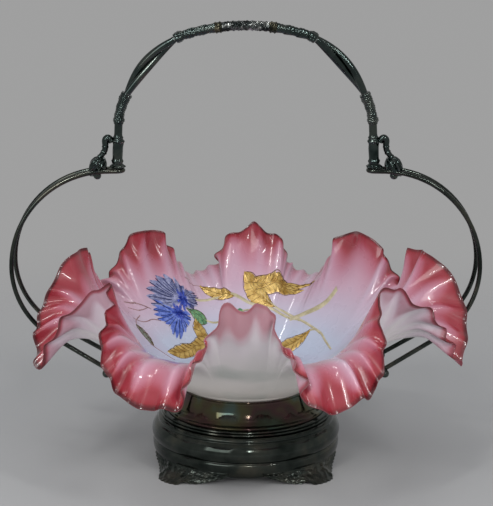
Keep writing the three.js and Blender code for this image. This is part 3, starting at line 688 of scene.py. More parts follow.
RIM_SHARES = [
    (0, 0.03, 0.9), (7, 0.03, 0.95), (9.6, 0.06, 0.71), (10.6, 0.2, 0.56), (13, 0.5, 0.46),
    (14.6, 0.76, 0.28), (16.2, 0.97, 0.05), (20, 1.02, 0), (26, 1.02, 0), (30.5, 0.98, 0.05),
    (34.5, 0.92, 0.19), (38, 0.82, 0.37), (41.2, 0.62, 0.54), (43.2, 0.36, 0.7), (45, 0.22, 0.85),
    (48, 0.17, 1), (53, 0.22, 0.94), (58, 0.4, 0.79), (61.5, 0.62, 0.62), (64, 0.82, 0.38),
    (66, 0.95, 0.16), (68.5, 1, 0.03), (72, 0.97, 0.14), (76, 0.92, 0.3), (80, 0.8, 0.48),
    (83.6, 0.58, 0.7), (86.5, 0.34, 0.92), (91, 0.08, 1.04), (98, 0.04, 0.98), (104, 0.16, 0.78),
    (108.5, 0.5, 0.5), (111, 0.82, 0.22), (114.5, 1, 0.02), (118, 0.72, 0.2), (120.4, 0.28, 0.46),
    (123.4, 0.04, 0.76), (129, -0.04, 0.95), (138, -0.05, 0.98), (145, -0.04, 0.9), (149, 0.02, 0.7),
    (152, 0.2, 0.48), (154.6, 0.62, 0.26), (157.4, 0.97, 0.06), (160.8, 1.05, 0.02), (164, 0.76, 0.14),
    (166.6, 0.42, 0.3), (167.8, 0.16, 0.44), (168.6, 0.02, 0.62), (169.6, -0.04, 0.78), (172, -0.05, 0.84),
    (175, -0.05, 0.86), (177.4, -0.05, 0.92), (180, -0.05, 0.98),
]
EVEN_TURNS = [0, 26, 35, 41, 48, 68.5, 84, 91, 114.5, 124, 138, 160.8, 180]
LEFT_TURNS = [0, 26.5, 36.7, 43.5, 48.5, 68, 84.5, 92.5, 120, 128.3, 140.5, 162, 183]
RIGHT_TURNS = [0, 25.5, 35, 39, 47.5, 68.5, 83.7, 91, 108, 119, 135.5, 157, 177]
RIGHT_SWELL_SHARES = [0, 0, 0.07, 0.1, 0.1, 0.13, 0.28, 0.06, 0, 0, 0, 0, 0]
RIGHT_LIFT_SHARES = [0, 0, 0, 0, 0, 0.03, 0.06, 0.04, 0, 0, 0, 0, 0]
CREST_LINE_SHARES = [(0, 0), (0.31, 0.157), (0.61, 0.373), (0.835, 0.627), (0.955, 0.83), (1, 1)]
DROOP_LINE_SHARES = [(0, 0), (0.21, 0.31), (0.413, 0.714), (0.62, 0.97), (0.8, 1)]
BOWL_COLUMNS = 880
BASIN_RINGS = (0.06, 0.2, 0.4, 0.6, 0.8, 0.92)
LOWER_RINGS = 14
UPPER_RINGS = 26
UPPER_START = 0.6
LIP_ANGLES = (45, 90, 135)
BELOW_TIP = 0.99
CRIMPS = 78
CRIMP_DEPTH = 2.4 * MM
CRIMP_START = 0.5
CREST_GAIN = 0.2
FOLD_SHARE = 0.3
NOTCH_DEPTH = 0.6 * MM
FRONT_CALM = 0.4
FRONT_WIDTH = 0.09
PETAL_GAIN = 1.0
PETAL_PLACE = 0.2
PETAL_WIDTH = 0.07
RIM_THINNING = 0.7
# Painted fold shade, in part: how far the tint deepens and pales along the crimps
STREAK_AND_FOLD_SHADE = 0.065
CREST_BLUSH = 0.02
DROOP_BLUSH = -0.09
PATCHES = 0.03
LEFT_BLUSH = 0.07
FRONT_BLUSH = 0.09
RIM_PULL = 3
BASIN_SHARE = 0.1
BASIN_CURVE = 4
TINT_CAP = 0.94
BASIN_FLOOR = BOWL_FOOT_BOTTOM + BOWL_FOOT_HEIGHT + GLASS / 2
BASIN_UNDER = BASIN_FLOOR - GLASS
BOWL_FOOT_ROUND = 0.6 * MM
BOWL_FOOT_EDGE = 0.5 * MM
DIRECTION_STEP = 0.004
AROUND = np.arange(BOWL_COLUMNS) / BOWL_COLUMNS * 2 * math.pi


def rim_line():
    left = [(np.interp(a, EVEN_TURNS, LEFT_TURNS), out, up) for a, out, up in RIM_SHARES]
    right = [
        (
            -np.interp(a, EVEN_TURNS, RIGHT_TURNS),
            out + np.interp(a, EVEN_TURNS, RIGHT_SWELL_SHARES),
            up + np.interp(a, EVEN_TURNS, RIGHT_LIFT_SHARES),
        )
        for a, out, up in RIM_SHARES[-2:0:-1]
    ]
    points = []
    for degrees, out, up in left + right:
        turn = math.radians(degrees)
        reach = CREST_RADIUS + out * (DROOP_RADIUS - CREST_RADIUS)
        rise = DROOP_RISE + up * (CREST_RISE - DROOP_RISE)
        points.append((-reach * math.sin(turn), -reach * math.cos(turn), BOWL_BODY_BOTTOM + rise))
    return even_line(points, BOWL_COLUMNS, ring=True)


def meridian(shares, reach, rise, last=None):
    points = [(BOWL_FOOT_RADIUS + out * reach, BOWL_BODY_BOTTOM + up * rise) for out, up in shares]
    return points + ([last] if last else [])


CREST_LINE = meridian(CREST_LINE_SHARES, CREST_RADIUS - BOWL_FOOT_RADIUS, CREST_RISE)
DROOP_LINE = meridian(
    DROOP_LINE_SHARES, DROOP_RADIUS - BOWL_FOOT_RADIUS, SADDLE_RISE,
    (DROOP_RADIUS, BOWL_BODY_BOTTOM + DROOP_RISE),
)


class Wall:
    """Middle of the glass wall: a point for each column of the rim and share of the way up."""

    def __init__(self):
        rim = rim_line()
        self.reach = np.hypot(rim[:, 0], rim[:, 1])
        self.height = rim[:, 2]
        self.out = rim[:, :2] / self.reach[:, None]
        self.up = (self.height - BOWL_BODY_BOTTOM - DROOP_RISE) / (CREST_RISE - DROOP_RISE)

    def points(self, shares):
        crest = smooth_line(CREST_LINE, shares)[:, None]
        droop = smooth_line(DROOP_LINE, shares)[:, None]
        up = self.up[None, :, None]
        place = droop * (1 - up) + crest * up
        end = smooth_line(DROOP_LINE, [1])[:, None] * (1 - up) + smooth_line(CREST_LINE, [1])[:, None] * up
        pull = np.asarray(shares, float)[:, None] ** RIM_PULL
        radius = place[..., 0] + (self.reach - end[..., 0]) * pull
        height = place[..., 1] + (self.height - end[..., 1]) * pull
        return np.stack([self.out[:, 0] * radius, self.out[:, 1] * radius, height], axis=-1)

    def directions(self, shares):
        """Unit directions into the bowl and up the wall."""
        shares = np.asarray(shares, float)
        along = self.points(shares) - self.points(shares - DIRECTION_STEP)
        along /= np.linalg.norm(along, axis=2, keepdims=True)
        around = np.roll(self.points(shares), -2, axis=1) - np.roll(self.points(shares), 2, axis=1)
        normal = np.cross(around, along)
        normal /= np.linalg.norm(normal, axis=2, keepdims=True)
        return normal * np.where(normal[0, 0, 1] > 0, 1, -1), along


wall = Wall()


def crimp_waves():
    """Hand-pinched crimps round the rim, and the softer folds they leave further in."""
    way = AROUND
    drift = 1.5 * np.sin(7 * way + 1) + 1.2 * np.sin(13 * way + 2.2) + 0.7 * np.sin(23 * way)
    depth = 0.66 + 0.3 * np.sin(11 * way + 0.6) + 0.26 * np.sin(29 * way + 3)
    depth *= 1 + CREST_GAIN * smoothstep(wall.up, 0.45, 0.85)
    depth *= 1 - FRONT_CALM * bulge(np.sin(way / 2), 0, FRONT_WIDTH)
    depth *= 1 + PETAL_GAIN * bulge(np.abs(np.sin(way / 2)), PETAL_PLACE, PETAL_WIDTH)
    turn = CRIMPS * way + drift
    crimps = depth * (np.cos(turn) + 0.3 * np.cos(2 * turn + 0.8))
    folds = 0.6 * np.cos(turn) + 0.7 * np.cos(turn / 2 + 0.6 * np.sin(5 * way))
    folds += 0.5 * np.cos(turn / 3 + 2)
    notches = np.cos(turn + 0.9) + 0.5 * np.sin(17 * way + 1)
    return crimps, folds, notches


def wall_rings(shares, offset):
    """Crimped rings of the wall at these shares, that far inwards from its middle."""
    crimps, folds, notches = crimp_waves()
    near_rim = smoothstep(shares, CRIMP_START + 0.1, 1)[:, None] ** 1.5
    further_in = smoothstep(shares, CRIMP_START - 0.2, 0.95)[:, None]
    relief = CRIMP_DEPTH * (crimps[None, :] * near_rim + FOLD_SHARE * folds[None, :] * further_in)
    thin = 1 - RIM_THINNING * smoothstep(shares, 0.7, 1)[:, None]
    inward, along = wall.directions(shares)
    lift = NOTCH_DEPTH * notches[None, :] * near_rim**2
    return wall.points(shares) + inward * (relief + offset * thin)[..., None] + along * lift[..., None]


def bowl_rings():
    """Rings of the bowl and their shares of the wall: basin, inside, lip, outside and foot."""
    half = GLASS / 2
    up_shares = np.concatenate([
        np.linspace(BASIN_SHARE, UPPER_START, LOWER_RINGS), np.linspace(UPPER_START, 1, UPPER_RINGS)[1:],
    ])
    inner = wall_rings(up_shares, half)
    outer = wall_rings(up_shares, -half)
    tip = wall_rings(np.array([1.0]), 0)[0]
    lift = tip - wall_rings(np.array([BELOW_TIP]), 0)[0]
    lift *= (1 - RIM_THINNING) * half / np.linalg.norm(lift, axis=1, keepdims=True)
    turns = [math.radians(angle) for angle in LIP_ANGLES]
    lip = [tip + lift * math.sin(turn) + (inner[-1] - tip) * math.cos(turn) for turn in turns]
    rings, ways = [], []
    for share in BASIN_RINGS:
        ring = inner[0] * [share, share, 0]
        ring[:, 2] = BASIN_FLOOR + (inner[0][:, 2] - BASIN_FLOOR) * share**BASIN_CURVE
        rings.append(ring)
        ways.append(BASIN_SHARE * share)
    rings += [*inner, *lip, *outer[::-1]]
    ways += [*up_shares, *[1.0] * len(lip), *up_shares[::-1]]
    foot_inside = BOWL_FOOT_RADIUS - BOWL_FOOT_WALL
    for radius, height in (
        (BOWL_FOOT_RADIUS, BOWL_BODY_BOTTOM), (BOWL_FOOT_RADIUS, BOWL_FOOT_BOTTOM + BOWL_FOOT_EDGE),
        (BOWL_FOOT_RADIUS - BOWL_FOOT_ROUND, BOWL_FOOT_BOTTOM), (foot_inside, BOWL_FOOT_BOTTOM),
        (foot_inside - BOWL_FOOT_ROUND, BASIN_UNDER), (BOWL_FOOT_RADIUS / 3, BASIN_UNDER),
    ):
        rings.append(np.column_stack([wall.out * radius, np.full(BOWL_COLUMNS, height)]))
        ways.append(0)
    return rings, ways, len(BASIN_RINGS) + len(up_shares)


def tint_shares(ways):
    """Each point's place on the glass colours: deeper in the folds, partly as painted shade of their
    relief, paler where the rim droops.
    """
    crimps, folds = crimp_waves()[:2]
    deeper = smoothstep(ways, 0.45, 0.8) * (1 - smoothstep(ways, 0.93, 0.99))
    high = np.clip(wall.up, 0, 1)
    way = AROUND
    # Painted shade and light: the tint deepens and pales along the crimps and folds, partly the glass's
    # own streaks, partly standing in for the shading of their relief
    blush_and_fold_shade = CREST_BLUSH * high - STREAK_AND_FOLD_SHADE * (crimps + 0.7 * folds)
    blush_and_fold_shade += PATCHES * (np.sin(9 * way + 0.4) + 0.8 * np.sin(14 * way + 2) * np.sin(5 * way))
    leftward = LEFT_BLUSH * smoothstep(ways, 0.12, 0.4)[:, None] * (0.5 - 0.5 * wall.out[None, :, 0])
    blush_and_fold_shade += FRONT_BLUSH * bulge(np.sin(way / 2), 0, FRONT_WIDTH)
    middle = smoothstep(ways, 0.45, 0.65) * (1 - smoothstep(ways, 0.86, 0.97))
    droop = DROOP_BLUSH * middle[:, None] * (1 - high[None, :])
    shares = np.array(ways)[:, None] + deeper[:, None] * blush_and_fold_shade[None, :] + droop + leftward
    return np.minimum(shares, TINT_CAP + (1 - TINT_CAP) * smoothstep(ways, 0.95, 1)[:, None])


def bowl_piece():
    rings, ways, inside_count = bowl_rings()
    shares = tint_shares(ways)
    count = BOWL_COLUMNS
    points = [*np.vstack(rings), (0, 0, BASIN_FLOOR), (0, 0, BASIN_UNDER)]
    faces = tube_faces(len(rings), count)
    corners, finishes = [], []
    for k in range(len(rings) - 1):
        for i in range(count):
            j = (i + 1) % count
            for row, column, turn in ((k, i, i), (k, j, i + 1), (k + 1, j, i + 1), (k + 1, i, i)):
                corners.append((turn / count, shares[row, column]))
        finishes += [0 if k < inside_count - 1 else 1] * count
    corners += [(0, 0)] * (6 * count)
    finishes += [0, 1] * count
    piece = new_piece("ruffled_bowl", points, faces, (inside_glass, outside_glass))
    layer = piece.data.uv_layers.new(name="wall")
    layer.data.foreach_set("uv", np.array(corners, float).ravel())
    piece.data.polygons.foreach_set("material_index", finishes)
    point_outwards()
    bpy.ops.object.shade_smooth()
    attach(piece, "bowl")
    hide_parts("glass_bowl")
    return piece


bowl = bowl_piece()


# Enamelled spray inside the bowl: places and lifts are in millimetres, seen from above

RAY_START = 300 * MM
LEAF_STEPS = 72
PETAL_STEPS = 18
STROKE_STEPS = 12
LEAF_ACROSS = 13
EDGE_SINK = 0.12
RIB_LIFT = 0.2
RIB_WIDTH = 0.12
STROKE_SINK = 0.08
STROKE_ACROSS = (-1, -0.6, 0, 0.6, 1)
VEIN_WIDTH = 0.4


def on_glass(x, y, lift):
    """The point over (x, y) on the inside of the bowl, lifted off the glass."""
    place, normal = bowl.ray_cast(Vector((x * MM, y * MM, RAY_START)), Vector((0, 0, -1)))[1:3]
    return place + normal * (lift * MM)


class Paint:
    """Gathers the strokes of one colour and makes them a single raised piece."""

    def __init__(self):
        self.points = []
        self.faces = []

    def grid(self, rows):
        """Rows of (x, y, lift) points, each row as long as the first."""
        self.faces += grid_faces(len(rows), len(rows[0]), len(self.points))
        self.points += [on_glass(*point) for row in rows for point in row]

    def leaf(self, base, tip, width, bend=0.0, teeth=0, waist=0.45, lift=0.5, lines=None):
        """A pointed leaf, widest at its waist, toothed down one side; its veins go to the lines."""
        base, tip = np.array(base, float), np.array(tip, float)
        chord = tip - base
        pull = (base + tip) / 2 + 2 * bend * np.array([-chord[1], chord[0]])

        def spot(share, c):
            place, ahead = bezier(base, pull, tip, [share, share + 0.01])
            across = np.array([-(ahead - place)[1], (ahead - place)[0]])
            across /= np.linalg.norm(across)
            skew = share ** (math.log(0.5) / math.log(waist))
            half = width / 2 * max(math.sin(math.pi * min(skew, 1)), 0.02) ** 0.75
            tooth = 0.2 * ((share * teeth) % 1 - 0.5) if c > 0 else 0.05 * math.sin(23 * share)
            return place + across * half * c * (1 + tooth)

        rows = []
        for share in np.linspace(0, 1, LEAF_STEPS + 1):
            row = []
            for c in np.linspace(-1, 1, LEAF_ACROSS):
                crown = lift * (1 - abs(c) ** 3) - EDGE_SINK + RIB_LIFT * bulge(c, 0, RIB_WIDTH)
                row.append((*spot(share, c), crown))
            rows.append(row)
        self.grid(rows)
        if lines:
            lines.stroke([spot(share, 0) for share in (0.02, 0.35, 0.7, 0.98)], VEIN_WIDTH, lift + 0.35)
            for side in (-1, 1):
                edge = [spot(share, 0.98 * side) for share in np.linspace(0.04, 0.97, 9)]
                lines.stroke(edge, VEIN_WIDTH, 0.3, 0)
                for share in np.linspace(0.1, 0.78, max(teeth, 4)):
                    bends = ((0, 0), (0.07, 0.45 * side), (0.12, 0.9 * side))
                    vein = [spot(share + ahead, c) for ahead, c in bends]
                    lines.stroke(vein, VEIN_WIDTH * 0.7, lift + 0.18)

    def petal(self, heart, tip, width, teeth=3, lift=0.5):
        """A floret that widens from the flower's heart and ends in pointed teeth."""
        heart, tip = np.array(heart, float), np.array(tip, float)
        way = tip - heart
        length = np.linalg.norm(way)
        across = np.array([-way[1], way[0]]) / length
        rows = []
        for share in np.linspace(0, 1, PETAL_STEPS + 1):
            half = width / 2 * (0.14 + 0.86 * share**0.8)
            row = []
            for c in np.linspace(-1, 1, 4 * teeth + 1):
                tooth = abs(math.sin(math.pi * teeth * (c + 1) / 2))
                reach = share * (1 - 0.3 * (1 - tooth) * share**2 - 0.16 * c * c)
                crown = lift * (0.5 + 0.5 * tooth) * (1 - share**6) - 0.1 * abs(c) ** 4
                row.append((*(heart + way * reach + across * half * c), crown))
            rows.append(row)
        self.grid(rows)

    def stroke(self, points, width, lift=0.4, taper=0.4):
        """A brush stroke along a smooth line, thinner towards its end."""
        line = smooth_line(points, np.linspace(0, 1, STROKE_STEPS * (len(points) - 1) + 1))
        rows = []
        for k, (place, way) in enumerate(zip(line, directions_along(line))):
            share = k / (len(line) - 1)
            half = width / 2 * (1 - taper * share)
            across = half * np.array([-way[1], way[0]])
            rows.append([(*(place + across * c), lift * (1 - c * c) - STROKE_SINK) for c in STROKE_ACROSS])
        self.grid(rows)

    def finish(self, name, colour):
        piece = new_piece(name, self.points, self.faces, [enamels[colour]])
        point_outwards()
        for polygon in piece.data.polygons:
            if polygon.normal.z < 0:
                polygon.flip()
        bpy.ops.object.shade_smooth()
        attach(piece, "bowl")


UPPER_HEART = (-43, 71)
LOWER_HEART = (-45.5, 62)
UPPER_TIPS = [
    (-67.5, 56.5), (-66, 61.5), (-62.5, 67), (-58, 71.5), (-52, 75.5), (-45.5, 78), (-40, 79),
    (-33.5, 81), (-33, 75), (-35, 70),
]
LOWER_TIPS = [
    (-63, 55.5), (-62, 49.5), (-57, 50), (-50.5, 47.5), (-46.5, 43), (-43, 50), (-40, 55),
    (-37, 62),
]
LINE_STOPS = (0.34, 0.6, 0.93)
LINE_FAN = 0.12
LINE_WIDTH = 0.46
LINE_LIFT = 0.85


def floret(paint, lines, heart, tips, widths, strokes):
    """Petals from a flower's heart, with dark brush lines down each."""
    heart = np.array(heart, float)
    for tip, width in zip(tips, widths):
        paint.petal(heart, tip, width)
        for bend in np.linspace(-LINE_FAN, LINE_FAN, strokes):
            way = (np.array(tip) - heart) @ np.array([[1, bend], [-bend, 1]])
            lines.stroke([heart + way * stop for stop in LINE_STOPS], LINE_WIDTH, LINE_LIFT)


# Gilt leaves as base, tip, width, bend, teeth and waist; stems as points, width, lift and taper
GILT_LEAVES = [
    ((20, 75), (-1, 92.5), 12, 0.06, 7, 0.6), ((1, 88.5), (33, 88), 8.5, -0.03, 8, 0.5),
    ((7, 85), (40, 84.5), 9, 0.05, 8, 0.4), ((28, 89), (48, 88), 4.5, 0.04, 4, 0.3),
    ((-8, 82), (-32, 92), 7, 0.08, 5, 0.5), ((-20, 56), (-38, 42), 13, 0.05, 5, 0.4),
    ((-33, 46), (-52, 27), 12, 0.08, 6, 0.45), ((-24, 50), (-34, 64), 9, 0.1, 4, 0.5),
    ((44, 52), (18, 48), 12.5, 0.1, 7, 0.6),
]
MAIN_STEM = [
    (-35, 77), (-21, 82), (-7.5, 82.5), (3, 79), (16.5, 75), (30, 66.5), (37, 62), (50, 45.5),
    (53, 36.5), (56.5, 24.5),
]
STEMS = [
    (MAIN_STEM, 2.1, 0.45, 0.4),
    ([(37, 62), (27, 71), (19, 76), (10, 84)], 1.9, 0.45, 0.4),
    ([(30, 66), (40, 64.7), (54, 63), (62, 65)], 3.0, 0.4, -0.2),
    ([(43, 52), (47, 50), (50, 45)], 1.5, 0.45, 0),
    ([(-29, 66), (-22, 66), (-12, 70), (-4, 74.5), (8, 76)], 1.5, 0.45, 0.4),
]
TENDRIL_LIFT = 0.3
TENDRILS = [
    ([(-82, 50), (-72, 50), (-64, 51.5)], 0.9),
    ([(-79, 46), (-70, 47.5), (-66, 51)], 0.8),
    ([(-75, 36), (-69, 39), (-62, 46), (-57, 49)], 1.0),
    ([(-71, 43.5), (-73, 36), (-72, 27.5)], 0.9),
    ([(-63, 22), (-55, 22.5), (-47, 22)], 1.1),
    ([(-42, 86.5), (-37, 89.5), (-31, 92)], 0.9),
    ([(44, 88), (51, 88), (58, 90.5)], 1.0),
]
UPPER_WIDTHS = [11] * 5 + [8.5] * 2 + [6.5] * 3
LOWER_WIDTHS = [8.5] * 8
HEART_TEETH = 11
HEART_REACHES = (4.4, 6.4)

# Enamels as dark and pale colour, roughness, and then metal and grain where they differ
ENAMEL_LOOKS = {
    "gilding": ((152, 116, 50), (208, 176, 104), 0.28, 0.35, 200),
    "pale_gilding": ((156, 146, 114), (188, 178, 148), 0.36, 0.1, 260),
    "brown_enamel": ((120, 88, 92), (150, 120, 118), 0.4),
    "dark_brown_enamel": ((70, 48, 22), (104, 76, 36), 0.4),
    "grey_enamel": ((84, 90, 84), (116, 122, 112), 0.4),
    "pale_blue_enamel": ((80, 86, 124), (146, 148, 178), 0.34, 0, 420),
    "blue_enamel": ((50, 74, 156), (112, 130, 196), 0.3, 0, 420),
    "bright_blue_enamel": ((30, 48, 140), (72, 92, 182), 0.28, 0, 420),
    "dark_blue_enamel": ((30, 38, 84), (48, 58, 110), 0.35),
    "green_enamel": ((50, 100, 72), (118, 158, 112), 0.3, 0, 420),
}
enamels = {name: enamel(name, *look) for name, look in ENAMEL_LOOKS.items()}


def spray():
    gilt, veins, stems, tendrils, grey = Paint(), Paint(), Paint(), Paint(), Paint()
    upper, lower, lines, deep, calyx = Paint(), Paint(), Paint(), Paint(), Paint()
    for leaf in GILT_LEAVES:
        gilt.leaf(*leaf, lines=veins)
    for stem in STEMS:
        stems.stroke(*stem)
    for points, width in TENDRILS:
        tendrils.stroke(points, width, TENDRIL_LIFT)
    grey.leaf((-73, 30), (-61, 22), 6, 0.1, 3, lift=0.4, lines=veins)
    floret(upper, lines, UPPER_HEART, UPPER_TIPS, UPPER_WIDTHS, 3)
    floret(lower, lines, LOWER_HEART, LOWER_TIPS, LOWER_WIDTHS, 2)
    for x, y in (UPPER_HEART, LOWER_HEART):
        for k in range(HEART_TEETH):
            turn = k * 2 * math.pi / HEART_TEETH + x
            reach = HEART_REACHES[k % 2]
            deep.petal((x, y), (x + reach * math.cos(turn), y + reach * math.sin(turn)), 1.9, 2, 1.0)
    calyx.leaf((-40.5, 67.5), (-26.5, 64), 9, 0.05, 0, 0.66, 0.8, lines=veins)
    calyx.leaf((-6, 75), (-1, 74), 4)
    gilt.finish("gilt_leaves", "gilding")
    veins.finish("leaf_lines", "dark_brown_enamel")
    stems.finish("gilt_stems", "pale_gilding")
    tendrils.finish("brown_tendrils", "brown_enamel")
    grey.finish("grey_leaf", "grey_enamel")
    upper.finish("upper_florets", "pale_blue_enamel")
    lower.finish("lower_florets", "blue_enamel")
    lines.finish("floret_lines", "dark_blue_enamel")
    deep.finish("flower_hearts", "bright_blue_enamel")
    calyx.finish("green_calyx", "green_enamel")


spray()


# Wire hoops

HOOP_FOOT_GAP = 2.4 * MM
HOOP_FOOT_SHARE = 0.24
RUN_STEPS = 6
LOW_STEPS = 16
TOP_STEPS = 22
LOOP_STEPS = 12
WIRE_BEVEL = 4


def hoop_line():
    """Middle line of a hoop in the XZ plane: straight run, two arcs and the level end."""
    foot = np.array([CUP_TOP_RADIUS + HOOP_FOOT_GAP, 0, CUP_BOTTOM + HOOP_FOOT_SHARE * CUP_HEIGHT])
    low = np.array([HOOP_REACH - HOOP_LOW_RADIUS, 0, HOOP_MID_HEIGHT])
    top = np.array([HOOP_REACH - HOOP_TOP_RADIUS, 0, HOOP_MID_HEIGHT])
    away = foot - low
    distance = math.hypot(away[0], away[2])
    tangent = math.atan2(away[2], away[0]) + math.acos(HOOP_LOW_RADIUS / distance)

    def arc(centre, radius, turn):
        return centre + radius * np.array([math.cos(turn), 0, math.sin(turn)])

    run_end = arc(low, HOOP_LOW_RADIUS, tangent)
    line = [foot + (run_end - foot) * k / RUN_STEPS for k in range(RUN_STEPS)]
    line += [arc(low, HOOP_LOW_RADIUS, tangent * (1 - k / LOW_STEPS)) for k in range(LOW_STEPS)]
    line += [arc(top, HOOP_TOP_RADIUS, k / TOP_STEPS * math.pi / 2) for k in range(TOP_STEPS + 1)]
    line.append(np.array([LOOP_CENTRE, 0, HOOP_TOP]))
    return np.array(line)


def hoop_spreads(line):
    """How far each wire of a hoop lies from the middle line, from foot to loop."""
    run = run_along(line)
    share = (run / run[-1]) ** SPREAD_EASE
    return HOOP_FOOT_SPREAD + (HOOP_LOOP_RADIUS - HOOP_FOOT_SPREAD) * share


HOOP_LINE = hoop_line()
HOOP_SPREADS = hoop_spreads(HOOP_LINE)


def wire_points(sign):
    """A whole hoop: up the front wire, round the loop and down the back one."""
    front = HOOP_LINE - HOOP_SPREADS[:, None] * [0, 1, 0]
    turns = [k / LOOP_STEPS * math.pi for k in range(1, LOOP_STEPS)]
    loop = [
        (LOOP_CENTRE - HOOP_LOOP_RADIUS * math.sin(turn), -HOOP_LOOP_RADIUS * math.cos(turn), HOOP_TOP)
        for turn in turns
    ]
    back = front[::-1] * [1, -1, 1]
    return np.vstack([front, loop, back]) * [sign, 1, 1]


def wire_piece(name, points, radius, node):
    """A bent wire: a path given its thickness, then made a mesh."""
    deselect()
    bpy.ops.curve.primitive_nurbs_path_add()
    path = bpy.context.active_object
    curve = path.data
    curve.splines.clear()
    spline = curve.splines.new("POLY")
    spline.points.add(len(points) - 1)
    for point, place in zip(spline.points, points):
        point.co = (*place, 1)
    curve.bevel_depth = radius
    curve.bevel_resolution = WIRE_BEVEL
    curve.use_fill_caps = True
    bpy.ops.object.convert(target="MESH")
    point_outwards(WELD)
    return settle(name, "tarnished_plate", node)


for side, sign in SIDES:
    wire_piece(f"hoop_wires_{side}", wire_points(sign), WIRE_RADIUS, f"wire_{side}")


# Ball-ended ties under the runs of the wires

TIE_BEAD_WIDTH = 0.5 * MM
TIE_STEPS = 161


def tie_radius(half_length):
    """A bar with a ball at each end, and a small bead next to each ball."""
    ball_middle = half_length - TIE_BALL_RADIUS
    bead_middle = ball_middle - 1.25 * TIE_BALL_RADIUS

    def radius(share, turn):
        place = abs(share * 2 - 1) * half_length
        ball = np.sqrt(np.maximum(TIE_BALL_RADIUS**2 - (place - ball_middle) ** 2, 0))
        neck = TIE_BAR_RADIUS * (1 + 0.35 * bulge(place, bead_middle, TIE_BEAD_WIDTH))
        return np.where(place > ball_middle, ball, np.maximum(ball, neck)) + 0 * turn

    return radius


tie_low, tie_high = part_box("wire_tie_right")
tie_half = (tie_high[1] - tie_low[1]) / 2
tie_middle = ((tie_low[0] + tie_high[0]) / 2, 0, (tie_low[2] + tie_high[2]) / 2)
tie_line = [(tie_middle[0], y, tie_middle[2]) for y in np.linspace(-tie_half, tie_half, TIE_STEPS)]
tie_across = np.array([[1.0, 0, 0]] * TIE_STEPS)
on_both_sides("ball_tie", tie_line, tie_radius(tie_half), 20, "wire_tie", across=tie_across)


# Handle, from the wires to the grip. Lines lie in the XZ plane, on the right.

CAP_BOTTOM = HOOP_TOP + WIRE_RADIUS + SEAM
POST_FOOT = np.array([POST_REACH, 0, CAP_BOTTOM + CAP_HEIGHT + SEAM])
POST_TOP = POST_FOOT + [-POST_LEAN, 0, POST_HEIGHT]
SOCKET_END = POST_TOP + [-SOCKET_LEAN, 0, SOCKET_HEIGHT]
KNOT_POINT = np.array([KNOT_REACH, 0, SOCKET_END[2] + KNOT_RISE])
CROWN_PULL = np.array([0, 0, KNOT_POINT[2] + 2 * CROWN_RISE])
LINE_STEPS = 241
KNOT_STEPS = 61
STRAND_STEPS = 121
SHEATH_STEPS = 181
COLLAR_STEPS = 61
GRIP_STEPS = 341
CAP_STEPS = 30
POST_STEPS = 120
FINE = np.linspace(0, 1, LINE_STEPS)


def bowed(start, end, bow):
    """A bend from point to point whose middle lies that far off the straight line."""
    chord = (end - start) / np.linalg.norm(end - start)
    pull = (start + end) / 2 + 2 * bow * np.array([chord[2], 0, -chord[0]])
    return bezier(start, pull, end, FINE)


def meeting(start, leaving, end, arriving):
    """A bend that leaves one point and reaches another along the given directions."""
    span = end - start
    turn = leaving[0] * arriving[2] - leaving[2] * arriving[0]
    reach = (span[0] * arriving[2] - span[2] * arriving[0]) / turn
    return bezier(start, start + leaving * reach, end, FINE)


POST_LINE = np.array([POST_FOOT + (POST_TOP - POST_FOOT) * k / POST_STEPS for k in range(POST_STEPS + 1)])
BRANCH_LINE = bowed(SOCKET_END, KNOT_POINT, BRANCH_BOW)
SOCKET_LINE = meeting(POST_TOP, POST_TOP - POST_FOOT, SOCKET_END, BRANCH_LINE[1] - BRANCH_LINE[0])
CROWN_LINE = bezier(KNOT_POINT, CROWN_PULL, KNOT_POINT * [-1, 1, 1], FINE)
BRANCH_LENGTH = run_along(BRANCH_LINE)[-1]
CROWN_LENGTH = run_along(CROWN_LINE)[-1]
GRIP_START = (CROWN_LENGTH - GRIP_LENGTH) / 2
COLLAR_START = GRIP_START - SEAM - COLLAR_LENGTH
KNOT_LINE = bezier(
    cut(BRANCH_LINE, BRANCH_LENGTH - KNOT_LENGTH / 2, BRANCH_LENGTH, 2)[0], KNOT_POINT,
    cut(CROWN_LINE, 0, KNOT_LENGTH / 2, 2)[1], np.linspace(0, 1, KNOT_STEPS),
)


# Bodies of the bars, as shares of the way and of the radius
CAP_SHARES = [(0, 0.92), (0.12, 1), (0.35, 1), (0.7, 0.84), (1, 0.7)]
POST_SHARES = [(0, 1.08), (0.06, 1.1), (0.1, 1.02), (0.5, 1.08), (0.56, 1.02), (0.72, 0.84), (1, 0.84)]
SOCKET_SHARES = [(0, 0.92), (0.06, 1), (0.2, 0.86), (0.5, 0.88), (0.72, 0.96), (1, 1)]

# Beads and leaves on the bars: size, middle, width, plain share, number of leaves and their turn
CAP_LEAVES = [(0.09, 0.35, 0.3, 0, 7, 0)]
POST_LEAVES = [
    (0.3, 0.55, 0.035, 1, 0, 0), (0.16, 0.64, 0.022, 1, 0, 0), (0.16, 0.98, 0.02, 1, 0, 0),
    (0.16, 0.06, 0.04, 0.5, 6, 0), (0.1, 0.5, 0.07, 0, 5, 0),
]
SOCKET_LEAVES = [
    (0.16, 0.1, 0.07, 0.7, 5, 0.4), (0.14, 0.25, 0.05, 0.6, 5, 2.2), (0.12, 0.52, 0.08, 0.5, 4, 1),
    (0.15, 0.8, 0.07, 0.6, 5, 3), (0.12, 0.94, 0.04, 0.6, 7, 0),
]
KNOT_BEADS = [(0.08, 0.25, 0.12, 1, 0, 0), (0.1, 0.62, 0.14, 1, 0, 0)]
COLLAR_BEADS = [(0.16, 0.2, 0.12, 1, 0, 0), (0.16, 0.8, 0.12, 1, 0, 0)]


